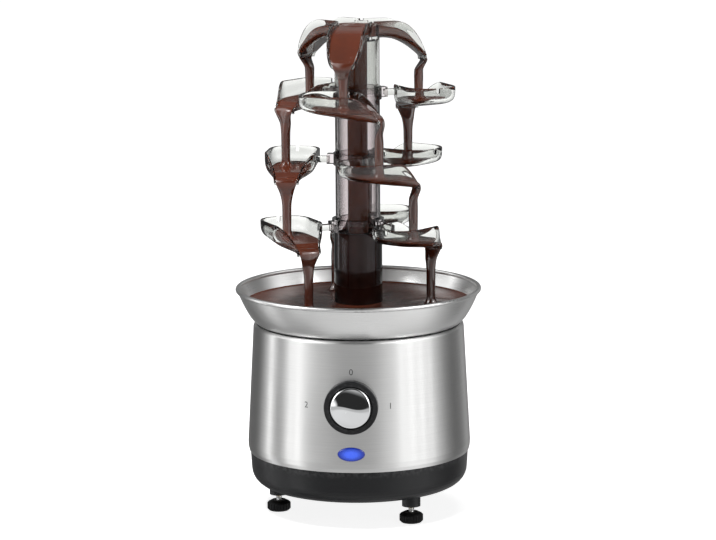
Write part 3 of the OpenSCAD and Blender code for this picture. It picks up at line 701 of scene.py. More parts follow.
@dataclass(frozen=True)
class LitLens:
    """A translucent lens with a lamp behind it, brightest at its middle."""

    name: str
    centre: Pair  # across and up
    reach: Pair
    bright: Colour = (0.05, 0.12, 0.75)
    rim: Colour = (0.004, 0.012, 0.16)
    strength: float = 0.75
    roughness: float = 0.12
    core: float = 0.35  # share of the reach that is at its brightest
    facets: float = 900.0
    facet_edge: Pair = (0.6, 0.82)  # distance from a facet's middle, and the level there
    relief: float = 0.1
    depth: float = 0.0003

    def material(self) -> Material:
        """Returns the lens' material."""
        surface = Surface(self.name)
        place = surface.spot()
        x, _, z = surface.axes(place)
        x, z = (surface.math("DIVIDE", surface.math("SUBTRACT", at, middle * MM), reach * MM)
                for at, middle, reach in zip((x, z), self.centre, self.reach))
        glow = surface.ranged(surface.hypot(x, z), self.core, 1.0, 1.0, 0.0)
        facets = surface.add("TexVoronoi", {"Vector": place, "Scale": self.facets}).outputs["Distance"]
        edge, edge_level = self.facet_edge
        level = surface.math("MULTIPLY", glow, surface.ranged(facets, 0.0, edge, 1.0, edge_level))
        colour = surface.blend(level, self.rim, self.bright)
        return surface.finished({
            "Base Color": colour,
            "Emission Color": colour,
            "Emission Strength": self.strength,
            "Roughness": self.roughness,
            "Normal": surface.bump(facets, self.relief, self.depth),
        })


class Finish(Enum):
    """Every finish of the object, apart from the lens, each made into a material once."""

    HOUSING_STEEL = BrushedMetal("housing_brushed_steel", (0.62, 0.62, 0.615), 0.33, 0.82)
    BOWL_STEEL = BrushedMetal("bowl_satin_steel", (0.72, 0.72, 0.715), 0.3, 0.55, relief=0.03, contrast=0.06)
    PLATED = PlainMetal("plated_steel", (0.6, 0.6, 0.61), 0.3)
    CHROME = PlainMetal("bright_chrome", (0.78, 0.79, 0.8), 0.045, cloud=30.0)
    BRASS = PlainMetal("turned_brass", (0.72, 0.53, 0.22), 0.28, tarnish=(0.3, 0.2, 0.08))
    ALUMINIUM = PlainMetal("cast_aluminium", (0.66, 0.67, 0.68), 0.42)
    HEATED = PlainMetal("heated_steel", (0.28, 0.25, 0.24), 0.45, tarnish=(0.2, 0.12, 0.18))
    BLACK = MouldedPlastic("black_moulded_plastic", (0.011, 0.0113, 0.0125), 0.32, specular=0.26)
    RUBBER = MouldedPlastic("black_rubber", (0.006, 0.006, 0.0065), 0.5, 1400.0, 0.2, specular=0.14)
    IVORY = MouldedPlastic("ivory_plastic", (0.72, 0.69, 0.6), 0.4, rubbed=(0.8, 0.78, 0.7))
    AUGER = MouldedPlastic("coated_auger_plastic", (0.16, 0.07, 0.045), 0.2, rubbed=(0.3, 0.16, 0.1))
    PRINT_INK = MouldedPlastic("dark_print_ink", (0.05, 0.05, 0.052), 0.5, relief=0.02)
    CLEAR = ClearPlastic("clear_moulded_plastic")
    # The tube's edge colour is near black: painted shade along the sides that are seen edge on.
    TUBE = ClearPlastic("filmed_tube_plastic", (0.7, 0.66, 0.665), (0.002, 0.002, 0.002), (0.45, 0.43, 0.44),
                        (0.15, 0.62))
    CHOCOLATE = MoltenChocolate("molten_chocolate", coat=0.3)
    POOL = MoltenChocolate("pooled_chocolate", (0.1, 0.027, 0.014), (0.05, 0.013, 0.007), 0.16, 0.1)
    # Painted shade: a much darker copy of the chocolate, for the fill of the lower tube.
    SHADED_COLUMN = MoltenChocolate("shaded_column_chocolate", (0.034, 0.012, 0.009), (0.02, 0.007, 0.005), 0.16, 0.15)
    RISER = MoltenChocolate("chocolate_filled_riser", (0.1, 0.027, 0.011), (0.06, 0.016, 0.007), 0.3, 0.03)

    @cache
    def material(self) -> Material:
        """Returns the finish's material."""
        return self.value.material()


def coated(data: bpy.types.Mesh, material: Material) -> None:
    """Gives a mesh one material."""
    data.materials.clear()
    data.materials.append(material)


def placed(obj: Object, body: Body, slot: Slot, finish: Union[Finish, LitLens], *nodes: str) -> None:
    """Gives a piece its finish and its body, and hides the CAD nodes that it stands for.

    Args:
        obj: Piece to place.
        body: Body that it rides on.
        slot: Material slot of the record; not used.
        finish: Finish of its surface.
        *nodes: CAD nodes that it replaces.
    """
    coated(obj.data, finish.material())
    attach(obj, body.value)
    if nodes:
        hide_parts(*nodes)
    LOG.info("%s rides on %s", obj.name, body.value)


def dressed(finish: Finish, *names: str) -> None:
    """Gives CAD nodes that stay in view a finish.

    Args:
        finish: Finish of their surface.
        *names: CAD nodes.
    """
    for name in names:
        coated(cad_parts[name].data, finish.material())
        LOG.info("%s is finished in %s", name, finish.value.name)


def bulge(v: Array) -> Array:
    """Returns the squared-off sine or cosine that shapes a trough's section."""
    return np.sign(v) * np.abs(v) ** (2.0 / SQUARENESS)


def squared(v: Array) -> Array:
    """Returns the other side of the squared-off circle at a place between 0 and 1."""
    return (1.0 - np.clip(v, 0.0, 1.0) ** SQUARENESS) ** (1.0 / SQUARENESS)


@dataclass(frozen=True)
class Section:
    """Rows along a trough: the place along the flow, half width, rim and underside heights."""

    along: Array
    half_w: Array
    rim: Array
    under: Array

    def points(self, sides: int) -> Array:
        """Returns points across each row.

        Args:
            sides: Steps across a row.

        Returns:
            Points as rows, places from the left rim under to the right rim, and x, y, z.
        """
        a = np.linspace(0.0, np.pi, sides + 1)
        x = -self.half_w[:, None] * bulge(np.cos(a))
        z = self.rim[:, None] - (self.rim - self.under)[:, None] * bulge(np.sin(a))
        return np.stack([x, np.broadcast_to(self.along[:, None], x.shape), z], axis=2)


@dataclass(frozen=True)
class Lip:
    """The nose that a trough ends in, rolled down round a radius from where its floor stops."""

    start: float
    base: float
    slope: float
    radius: float
    wall_turn: float = 100.0

    @property
    def centre(self) -> Pair:
        """Place along the flow and height of the nose's axis."""
        c, s = math.cos(self.slope), math.sin(self.slope)
        return self.start - self.radius * s, self.base - self.radius * c

    def reach(self, turn: float) -> float:
        """Returns how far past its start a straight floor goes that is rolled to a turn in degrees."""
        return self.radius * (math.radians(turn) - self.slope) * math.cos(self.slope)

    def tongue(self, turn: float, count: int) -> Array:
        """Returns places along a straight floor, past its start, that is rolled to a turn in degrees."""
        return self.start + self.reach(turn) * steps(count)[1:]

    def rolled(self, points: Array) -> Array:
        """Rolls a straight trough down where it lies past the lip's start.

        Args:
            points: Points whose last axis holds x, y along the flow, and z.

        Returns:
            The points, rolled.
        """
        c, s = math.cos(self.slope), math.sin(self.slope)
        x, y, z = np.moveaxis(points, -1, 0)
        ahead = (y - self.start) * c - (z - self.base) * s
        out = self.radius + (y - self.start) * s + (z - self.base) * c
        turn = self.slope + np.maximum(ahead, 0.0) / self.radius
        axis_y, axis_z = self.centre
        new_y = np.where(ahead > 0.0, axis_y + out * np.sin(turn), y)
        new_z = np.where(ahead > 0.0, axis_z + out * np.cos(turn), z)
        return np.stack([x, new_y, new_z], axis=-1)


class Trough:
    """What cup and chute share: a lofted wall with a rounded rim, which ends in a rolled lip."""

    rim_turns = (45.0, 90.0, 135.0)
    rim_rise = 0.7
    lip_round = 0.4

    def rim_line(self, along: Array, start: float, high: float) -> Array:
        """Works out the height of the rim, which comes down to the floor past the nose.

        Args:
            along: Places along the flow.
            start: Place from which the rim falls.
            high: Its height before that.

        Returns:
            The height at each place.
        """
        fall = share(along, start, self.nose) ** self.rim_fall
        thin = 1.0 - share(along, self.nose, self.nose + self.lip.reach(HANGING))
        tongue = self.bed(along) + self.wall + self.sheet * thin
        return np.where(along > self.nose, tongue, lerp(high, self.lip.base + self.sheet, fall))

    def _rim(self, a: Array, b: Array) -> Array:
        """Rounds the rim from one face to the other.

        Args:
            a: Edge of the first face on every row.
            b: Edge of the second face on every row.

        Returns:
            Points between them on every row.
        """
        middle, half = (a + b) / 2.0, (a - b) / 2.0
        rise = np.linalg.norm(half, axis=1)[:, None] * np.array([0.0, 0.0, self.rim_rise])
        turns = np.radians(self.rim_turns)
        return np.stack([middle + half * math.cos(t) + rise * math.sin(t) for t in turns], axis=1)

    def draft(self, count: int, sides: int) -> Draft:
        """Draws the wall.

        Args:
            count: Rows as far as the lip's start.
            sides: Steps across each face.

        Returns:
            A closed draft.
        """
        out, into = (self.rows(inset, count).points(sides) for inset in (0.0, self.wall))
        right, left = self._rim(out[:, -1], into[:, -1]), self._rim(into[:, 0], out[:, 0])
        loops = np.concatenate([out, right, into[:, ::-1], left], axis=1)
        over = len(self.rim_turns) + 1
        draft = Draft()
        first = draft.add_grid(loops)
        for row, push in ((0, 0.0), (len(loops) - 1, self.lip_round)):
            start = first + row * loops.shape[1]
            back = start + 2 * sides + over
            mid = draft.add_points((out[row] + into[row]) / 2.0 + np.array([0.0, push, 0.0]))
            for j in range(sides):
                draft.faces.append((start + j, start + j + 1, mid + j + 1, mid + j))
                draft.faces.append((mid + j, mid + j + 1, back - j - 1, back - j))
            right_end = range(start + sides, start + sides + over + 1)
            left_end = [*range(back, back + over), start]
            for strip, tip in ((right_end, mid + sides), (left_end, mid)):
                draft.faces += [(a, b, tip) for a, b in zip(strip, strip[1:])]
        draft.points = [self.lip.rolled(points) for points in draft.points]
        return draft


@dataclass(frozen=True)
class CupForm(Trough):
    """The spoon-shaped cup, in a frame with X outwards, Y along the flow and Z up from its tube joint."""

    offset: float = 57.0
    back: float = 40.0
    front: float = 29.5
    half_w: float = 22.0
    lip_half_w: float = 10.5
    heel_l: float = 22.0
    heel_squareness: float = 2.6
    heel_lift: float = 0.4
    heel_gap: float = 0.01
    wall: float = 2.0
    heel_depth: float = 13.5
    lip_depth: float = 24.0
    rim_drop: float = 1.0
    rim_fall: float = 1.7
    neck: float = 2.0
    sheet: float = 3.0
    level_drop: float = 12.2
    level_slope: float = 0.05
    freeboard: float = 1.0
    nose: float = 25.4
    nose_r: float = 2.5
    drawn_in: float = 3.0
    crowding: int = 2
    lip_rows: int = 12

    def bed(self, along: Value) -> Value:
        """Returns the height of the cup's underside along the flow."""
        return -lerp(self.heel_depth, self.lip_depth, (along + self.back) / (self.front + self.back))

    @property
    def lip(self) -> Lip:
        """The cup's pouring lip."""
        slope = math.atan((self.lip_depth - self.heel_depth) / (self.front + self.back))
        return Lip(self.nose, self.bed(self.nose) + self.wall, slope, self.nose_r)

    def section(self, along: Array, inset: float) -> Section:
        """Works out the cup's section.

        Args:
            along: Places along the flow.
            inset: How far the face is moved in from the outside.

        Returns:
            The rows at those places.
        """
        heel = np.clip((self.heel_l - self.back + inset - along) / self.heel_l, 0.0, 1.0)
        neck = smooth(share(along, self.neck, self.front))
        rim = self.rim_line(along, 2.0 * self.neck, -self.rim_drop)
        opening = np.maximum(1.0 - heel**self.heel_squareness, 0.0) ** (1.0 / self.heel_squareness)
        half_w = (lerp(self.half_w, self.lip_half_w, neck) - inset) * opening
        return Section(along, half_w, rim, lerp(rim, self.bed(along) + inset, opening**self.heel_lift))

    def rows(self, inset: float, count: int) -> Section:
        """Works out rows of a face from heel to lip, close together at the heel.

        Args:
            inset: How far the face is moved in from the outside.
            count: Rows as far as the lip's start.

        Returns:
            The rows.
        """
        trough = lerp(inset - self.back + self.heel_gap, self.nose, steps(count) ** self.crowding)
        tongue = self.lip.tongue(self.lip.wall_turn, self.lip_rows)
        return self.section(np.concatenate([trough, tongue]), inset)

    def level(self, section: Section) -> Array:
        """Returns the height of the chocolate along the cup."""
        rest = -self.level_drop - self.level_slope * (section.along + self.back)
        rest = np.minimum(section.rim - self.freeboard, rest)
        return np.where(section.along > 0.0, np.maximum(section.under + self.sheet, rest), rest)


@dataclass(frozen=True)
class ChuteForm(Trough):
    """The crown's arched chute, in a frame with Y outwards along the flow and Z up from the crown's joint."""

    angle: float = -8.0
    tube_r: float = 19.0
    tube_wall: float = 2.2
    crown_h: float = 55.0
    depth: float = 14.0
    straight: float = 7.0
    reach: float = 60.0
    drop: float = 21.0
    half_w: float = 15.5
    lip_half_w: float = 9.0
    taper: float = 7.0
    rim_fall: float = 2.6
    root_sunk: float = 0.4
    well_back: float = 2.0
    wall: float = 2.0
    sheet: float = 3.0
    ease: float = 3.0
    level_drop: float = 4.0
    level_slope: float = 0.15
    nose: float = 56.7
    nose_r: float = 4.5
    drawn_in: float = 5.0
    crowding: float = 1.4
    lip_rows: int = 14

    @property
    def well_r(self) -> float:
        """Radius of the crown's well."""
        return self.tube_r - self.tube_wall

    @property
    def floor(self) -> float:
        """Height of the chutes' underside at the tower."""
        return self.crown_h - self.depth

    @property
    def root(self) -> float:
        """Distance from the axis at which a chute's corners still lie in the tube's wall."""
        return math.sqrt((self.tube_r - self.root_sunk) ** 2 - self.half_w**2)

    @property
    def steep(self) -> float:
        """Fall of the chute's floor at its nose, as a share of its length."""
        return 2.0 * self.drop * (self.nose - self.tube_r) / (self.reach - self.tube_r) ** 2

    @property
    def lip(self) -> Lip:
        """The chute's pouring lip."""
        return Lip(self.nose, float(self.bed(self.nose)) + self.wall, math.atan(self.steep), self.nose_r)

    def bed(self, along: Value) -> Array:
        """Returns the height of the chute's underside, arched as far as its nose and straight past it."""
        arch = (np.clip(along, self.tube_r, self.nose) - self.tube_r) / (self.reach - self.tube_r)
        return self.floor - self.drop * arch**2 - self.steep * np.maximum(along - self.nose, 0.0)

    def section(self, along: Array, inset: float) -> Section:
        """Works out the chute's section.

        Args:
            along: Distances from the tower axis.
            inset: How far the face is moved in from the outside.

        Returns:
            The rows at those places.
        """
        start = self.tube_r + self.straight
        half_w = lerp(self.half_w, self.lip_half_w, share(along, start, self.reach) ** self.taper) - inset
        return Section(along, half_w, self.rim_line(along, start, self.crown_h), self.bed(along) + inset)

    def _rows(self, inset: float, count: int, start: float, turn: float) -> Section:
        """Returns rows of a face from a start, close together at the lip that is rolled to a turn."""
        trough = lerp(self.nose, start, np.linspace(1.0, 0.0, count) ** self.crowding)
        return self.section(np.concatenate([trough, self.lip.tongue(turn, self.lip_rows)]), inset)

    def rows(self, inset: float, count: int) -> Section:
        """Returns rows of a face from the chute's root to its lip."""
        return self._rows(inset, count, self.root, self.lip.wall_turn)

    def wet_rows(self, count: int) -> Section:
        """Returns rows of the inner face from inside the well to the lip's foremost place."""
        return self._rows(self.wall, count, self.well_r - self.well_back, HANGING)

    def level(self, section: Section) -> Array:
        """Returns the height of the chocolate along the chute, eased from the pool in the well to a sheet."""
        sheet = section.under + self.sheet
        pooled = section.rim - self.level_drop - self.level_slope * (section.along - self.well_r)
        return (sheet + pooled + np.sqrt((sheet - pooled) ** 2 + self.ease**2)) / 2.0


@dataclass(frozen=True)
class BowlForm:
    """Inner face of the bowl: a flat floor, a sloping edge and a flare up to the rim."""

    floor: Pair = (69.7, 153.8)  # radius, height
    edge: Pair = (76.7, 164.3)
    flare: tuple[Pair, Pair, Pair] = ((86.7, 163.3), (93.2, 166.3), (103.1, 190.5))
    wall: float = 1.0
    rows: int = 24

    def inside(self) -> Array:
        """Returns radius and height along the inner face, floor first."""
        a, b, c = np.array(self.flare)
        points = [np.array(self.floor), np.array(self.edge)]
        for u in steps(self.rows):
            at = (1 - u) ** 2 * a + 2 * u * (1 - u) * b + u * u * c
            along = (1 - u) * (b - a) + u * (c - b)
            points.append(at + self.wall * np.array([-along[1], along[0]]) / np.linalg.norm(along))
        return np.array(points)


@dataclass
class Cups:
    """The nine clear cups of the three tiers."""

    form: CupForm
    rows: int = 46
    sides: int = 30
    sharp: float = 50.0
    arm_w: float = 5.6
    arm_low: float = -8.9
    arm_high: float = -3.4
    arm_edge: float = 0.9
    arm_sunk: float = 1.6
    lug_face: float = 23.5

    def mesh(self) -> Object:
        """Returns one cup with its arm, in its own frame."""
        cup = self.form.draft(self.rows, self.sides).finished("cup_pattern", self.sharp)
        low = (self.lug_face - self.form.offset, -self.arm_w / 2, self.arm_low)
        high = (self.arm_sunk - self.form.half_w, self.arm_w / 2, self.arm_high)
        carved(cup, [rounded_block("arm", low, high, self.arm_edge)], Carving.UNION, self.sharp)
        return cup

    def build(self) -> None:
        """Places a cup on every arm of every tier."""
        pattern = self.mesh()
        for tier in Tier:
            for k, turn in enumerate(AROUND):
                node = f"{tier.label}_cup_{k + 1}"
                cup = linked(f"{node}_clear", pattern.data)
                cup.location = from_front(self.form.offset, tier.angle + turn, tier.joint_z) * MM
                cup.rotation_euler = Euler((0.0, 0.0, math.radians(tier.angle + turn - X_TO_FRONT)))
                placed(cup, Body.BASE, Slot.CLEAR_PLASTIC, Finish.CLEAR, node)
        bpy.data.objects.remove(pattern)


@dataclass
class Crown:
    """The clear crown: a short tube whose well opens into three arched chutes."""

    form: ChuteForm
    spigot_r: float = 17.9
    spigot_h: float = 5.0
    bore_r: float = 8.6
    brim: float = 1.0
    chamfer: float = 0.5
    sill: float = 0.3
    door_gap: float = 1.0
    door_edge: float = 0.8
    over: float = 5.0
    rows: int = 40
    sides: int = 28
    chute_sharp: float = 50.0
    join_sharp: float = 35.0
    cut_sharp: float = 40.0

    def build(self) -> None:
        """Makes the crown and places it on its joint."""
        form, cut = self.form, self.chamfer
        inner, tube_r = form.well_r, form.tube_r
        top, above = form.crown_h - self.brim, form.crown_h + self.over
        floor_low, floor_top = form.floor - form.wall, form.floor + form.wall - self.sill
        crown = lathe("crown_clear", [
            (inner, -self.spigot_h), (self.spigot_r, -self.spigot_h), (self.spigot_r, 0.0), (tube_r, 0.0),
            (tube_r, top - cut), (tube_r - cut, top), (inner + cut, top), (self.bore_r, top),
            (self.bore_r, floor_low), (inner, floor_low)])
        half = form.half_w - form.wall - self.door_gap
        low, high = (-half, 0.0, floor_top + 2.0 * self.sill), (half, tube_r + self.door_gap, above)
        chutes, doors = [], []
        for turn in AROUND:
            chutes.append(form.draft(self.rows, self.sides).finished("chute", self.chute_sharp))
            doors.append(rounded_block("door", low, high, self.door_edge))
            for piece in (chutes[-1], doors[-1]):
                piece.rotation_euler = Euler((0.0, 0.0, math.radians(form.angle + turn - Y_TO_FRONT)))
        carved(crown, chutes, Carving.UNION, self.join_sharp)
        well = lathe("well", [(0.0, floor_top), (inner, floor_top), (inner, above), (0.0, above)])
        carved(crown, [well, *doors], Carving.DIFFERENCE, self.cut_sharp)
        crown.location = from_front(0.0, 0.0, Tier.UPPER.joint_z) * MM
        placed(crown, Body.BASE, Slot.CLEAR_PLASTIC, Finish.CLEAR, "crown")


@dataclass
class Cascade:
    """The chocolate that runs over crown and cups, the pool in the bowl and the fill of the lower tube."""

    cup: CupForm
    chute: ChuteForm
    bowl: BowlForm
    places: int = 48
    sharp: float = 70.0
    bite: float = 0.3
    swell: float = 0.5
    lip_ease: float = 5.0
    fall_rows: int = 40
    neck: Pair = (0.45, 2.0)  # share of the fall at which it ends, and its power
    spread: Pair = (0.82, 2.6)  # share of the fall at which it starts, and its power
    taper: Pair = (1.06, 0.94)  # share of the stream's radius at its top and its foot
    stream_r: float = 3.9
    landing_r: float = 6.6
    landing_rise: float = 0.3
    draw_h: float = 11.0
    heel_gap: float = 0.05
    heel_film: float = 0.1
    heel_rows: int = 400
    cup_rows: int = 48
    cup_crowding: float = 1.5
    chute_rows: int = 44
    lip_rows: int = 14
    well_drop: float = 3.2
    well_eye: float = 0.05
    well_places: int = 96
    well_rows: int = 24
    well_floor_rows: int = 6
    well_boil: Pair = (1.5, 7.0)  # rise, reach
    well_wave: Pair = (0.25, 1.1)  # rise, turn for each millimetre
    well_lobes: Triple = (0.25, 3.0, 0.4)  # rise, number, phase
    tube_r: float = 20.5
    tube_bore_r: float = 18.0
    riser_r: float = 8.5
    column_z: Pair = (154.2, 238.8)
    column_climb: tuple[Pair, ...] = ((0.0, 1.0), (0.6, 0.3), (2.0, 0.0))  # inwards and up
    pool_z: float = 178.9
    pool_rise: float = 0.6
    pool_skin: float = 0.05
    pool_shelf: float = 0.2
    pool_margin: float = 3.0
    pool_sharp: float = 60.0
    pool_places: int = 288
    pool_rows: int = 70
    pool_starts: Triple = (0.0, 0.5, 1.2)
    pool_ends: Triple = (1.8, 0.8, 0.0)
    splash: Pair = (1.1, 9.0)  # rise, reach
    ripple: Triple = (0.4, 2.6, 14.0)  # rise, length, reach
    swirl: tuple[float, float, float, float] = (0.25, 2.0, 11.0, 12.0)  # rise, lobes, twist, calm edge
    creep: Pair = (0.9, 1.2)  # rise, reach

    def _channel(self, section: Section, level: Array) -> Array:
        """Fills a trough with chocolate.

        Args:
            section: Inner face of the trough.
            level: Height of the chocolate on each row.

        Returns:
            Rings of points, bottom from left to right and then the surface back.
        """
        a = angles(self.places)
        wide, deep = section.half_w + self.bite, section.rim - section.under + self.bite
        x = -(wide * squared((section.rim - level) / deep))[:, None] * np.cos(a)
        bed = section.rim[:, None] - deep[:, None] * squared(np.abs(x) / wide[:, None])
        surface = level[:, None] + self.swell * np.abs(np.sin(a))
        z = np.where(np.sin(a) >= 0.0, np.minimum(bed, level[:, None]), surface)
        return np.stack([x, np.broadcast_to(section.along[:, None], x.shape), z], axis=2)

    def _sheet(self, half_w: float, thick: float, turn: float, y: float, z: float) -> Array:
        """Draws one oval ring of the sheet that bends over a lip.

        Args:
            half_w: Half its width.
            thick: Its thickness.
            turn: Degrees from lying level to hanging.
            y: Place of its underside along the flow.
            z: Height of its underside.

        Returns:
            The ring's points.
        """
        a, t = angles(self.places), math.radians(turn)
        out = thick / 2.0 - thick / 2.0 * np.sin(a)
        return np.stack([-half_w * np.cos(a), y + out * math.sin(t), z + out * math.cos(t)], axis=1)

    def _run(self, form: Trough, section: Section, end_z: float) -> Array:
        """Draws chocolate along a trough, over its lip and down to an end height.

        Args:
            form: Cup or chute that the chocolate runs in.
            section: Inner face of the trough, as far as the lip's foremost place.
            end_z: Height at which the stream lands.

        Returns:
            Rings of points from the trough's back to the landing.
        """
        lip, sheet = form.lip, form.sheet
        channel = self._channel(section, form.level(section))
        rows = zip(section.along, section.under, section.half_w)
        oval = np.stack([self._sheet(w + self.bite, sheet, 0.0, y, z) for y, z, w in rows])
        ease = smooth(share(section.along, lip.start - self.lip_ease, section.along[-1]))[:, None, None]
        rings = list(lip.rolled(lerp(channel, oval, ease)))
        lip_y, lip_z = lip.centre
        half_w = section.half_w[-1] + self.bite
        for u in steps(self.fall_rows)[1:]:
            drawn = form.drawn_in * float(smooth(share(u * (lip_z - end_z), 0.0, self.draw_h)))
            neck = 1.0 - (1.0 - float(share(u, 0.0, self.neck[0]))) ** self.neck[1]
            spread = float(share(u, self.spread[0], 1.0)) ** self.spread[1]
            end_r = lerp(self.stream_r * lerp(*self.taper, u), self.landing_r, spread)
            thick = lerp(sheet, 2.0 * end_r, neck)
            y = lip_y + lip.radius + sheet / 2.0 - drawn - thick / 2.0
            rings.append(self._sheet(lerp(half_w, end_r, neck), thick, HANGING, y, lerp(lip_z, end_z, u)))
        return np.array(rings)

    def _fall(self) -> Pair:
        """Returns the distance from the axis and the angle past its cup at which a stream falls."""
        y = self.cup.lip.centre[0] + self.cup.nose_r + self.cup.sheet / 2.0 - self.cup.drawn_in
        return math.hypot(self.cup.offset, y), math.degrees(math.atan2(y, self.cup.offset))

    def _landing(self) -> float:
        """Returns the height above its joint at which a stream meets the chocolate in a cup."""
        middle = self.cup.section(np.array([0.0]), self.cup.wall)
        return float(self.cup.level(middle)[0]) + self.landing_rise

    def _cup_rows(self) -> Section:
        """Returns the cup's inner face from where the chocolate starts at the heel."""
        cup = self.cup
        heel = cup.section(np.linspace(cup.wall - cup.back + self.heel_gap, 0.0, self.heel_rows), cup.wall)
        start = heel.along[np.argmax(cup.level(heel) > heel.under - self.bite + self.heel_film)]
        trough = lerp(start, cup.nose, steps(self.cup_rows) ** self.cup_crowding)
        return cup.section(np.concatenate([trough, cup.lip.tongue(HANGING, self.lip_rows)]), cup.wall)

    def _poured(self, node: str, *shells: Array) -> None:
        """Makes a piece of chocolate runs that stands for a CAD node."""
        flow = skinned(f"{node}_flow", self.sharp, *shells)
        placed(flow, Body.BASE, Slot.CHOCOLATE, Finish.CHOCOLATE, node)

    def tier(self, tier: Tier, end_z: float) -> None:
        """Makes the runs of a tier.

        Args:
            tier: Tier whose cups the chocolate leaves.
            end_z: Height at which its streams land.
        """
        rings = self._run(self.cup, self._cup_rows(), end_z - tier.joint_z)
        rings += np.array([self.cup.offset, 0.0, tier.joint_z])
        runs = [turned(rings, tier.angle + turn - X_TO_FRONT) for turn in AROUND]
        self._poured(f"chocolate_{tier.label}_run", *runs)

    def crown_runs(self) -> None:
        """Makes the runs over the crown's chutes and the swell in its well."""
        chute, joint, a = self.chute, Tier.UPPER.joint_z, angles(self.well_places)
        wet = chute.wet_rows(self.chute_rows)
        rings = self._run(chute, wet, self._landing()) + np.array([0.0, 0.0, joint])
        runs = [turned(rings, chute.angle + turn - Y_TO_FRONT) for turn in AROUND]
        out_r, top = chute.well_r + self.bite, joint + chute.crown_h - self.well_drop
        well = []
        for r in np.linspace(self.well_eye, out_r, self.well_rows):
            boil = self.well_boil[0] * math.exp(-((r / self.well_boil[1]) ** 2))
            boil += self.well_wave[0] * math.cos(r * self.well_wave[1])
            rise, lobes, phase = self.well_lobes
            well.append(ring(r, a, top + boil + rise * np.sin(lobes * a + phase) * (r / chute.well_r)))
        floor_z = joint + chute.floor + chute.wall
        well += [ring(r, a, floor_z) for r in np.linspace(out_r, self.well_eye, self.well_floor_rows)]
        self._poured("chocolate_crown_run", *runs, np.array(well))

    def _pool_z(self, points: Array, a: Array, r: float, rim_r: float) -> Array:
        """Works out the height of the pool's surface round one ring.

        Args:
            points: Points of the ring.
            a: Their angles.
            r: The ring's radius.
            rim_r: Radius at which the pool meets the bowl.

        Returns:
            Height at each point.
        """
        fall_r, fall_turn = self._fall()
        z = np.full_like(a, self.pool_z)
        for turn in AROUND:
            d = np.linalg.norm(points - from_front(fall_r, Tier.LOWER.angle + turn + fall_turn), axis=1)
            z += self.splash[0] * np.exp(-((d / self.splash[1]) ** 2))
            z += self.ripple[0] * np.cos(d / self.ripple[1]) * np.exp(-d / self.ripple[2])
        rise, lobes, twist, calm = self.swirl
        z += rise * np.sin(lobes * a + r / twist) * share(rim_r - r, 0.0, calm)
        for gap in (rim_r - r, r - self.tube_r):
            z += self.creep[0] * math.exp(-gap / self.creep[1])
        return z

    def pool(self) -> None:
        """Makes the pool with ripples where the streams land."""
        a, inside = angles(self.pool_places), self.bowl.inside()
        wall = inside[inside[:, 1] < self.pool_z - self.pool_shelf]
        rim_r = float(np.interp(self.pool_z, inside[:, 1], inside[:, 0])) - self.pool_skin
        start_r = self.tube_r - self.bite
        middle = np.linspace(self.tube_r + self.pool_margin, rim_r - self.pool_margin, self.pool_rows)
        radii = [start_r + np.array(self.pool_starts), middle, rim_r - np.array(self.pool_ends)]
        rings = [ring(r, a, self._pool_z(ring(r, a, 0.0), a, r, rim_r)) for r in np.concatenate(radii)]
        rings += [ring(r - self.pool_skin, a, z + self.pool_skin) for r, z in wall[::-1]]
        rings.append(ring(start_r, a, wall[0, 1] + self.pool_skin))
        pool = looped("chocolate_pool_surface", self.pool_sharp, rings)
        placed(pool, Body.BASE, Slot.CHOCOLATE, Finish.POOL, "chocolate_pool")

    def column(self) -> None:
        """Makes the chocolate that stands in the lower tube, wetting tube and riser."""
        low, high = self.column_z
        out_r, in_r = self.tube_bore_r + self.bite, self.riser_r - self.bite
        outer = [(out_r - inward, high + up) for inward, up in self.column_climb]
        inner = [(in_r + inward, high + up) for inward, up in self.column_climb[::-1]]
        column = lathe("chocolate_column_fill", [(in_r, low), (out_r, low), *outer, *inner])
        # The fill takes the darker copy of the chocolate, which paints its shade.
        placed(column, Body.BASE, Slot.CHOCOLATE, Finish.SHADED_COLUMN, "chocolate_column")

    def build(self) -> None:
        """Makes every run, the pool and the column."""
        landing = self._landing()
        self.crown_runs()
        self.tier(Tier.UPPER, Tier.MIDDLE.joint_z + landing)
        self.tier(Tier.MIDDLE, Tier.LOWER.joint_z + landing)
        self.tier(Tier.LOWER, self.pool_z + self.pool_rise)
        self.pool()
        self.column()


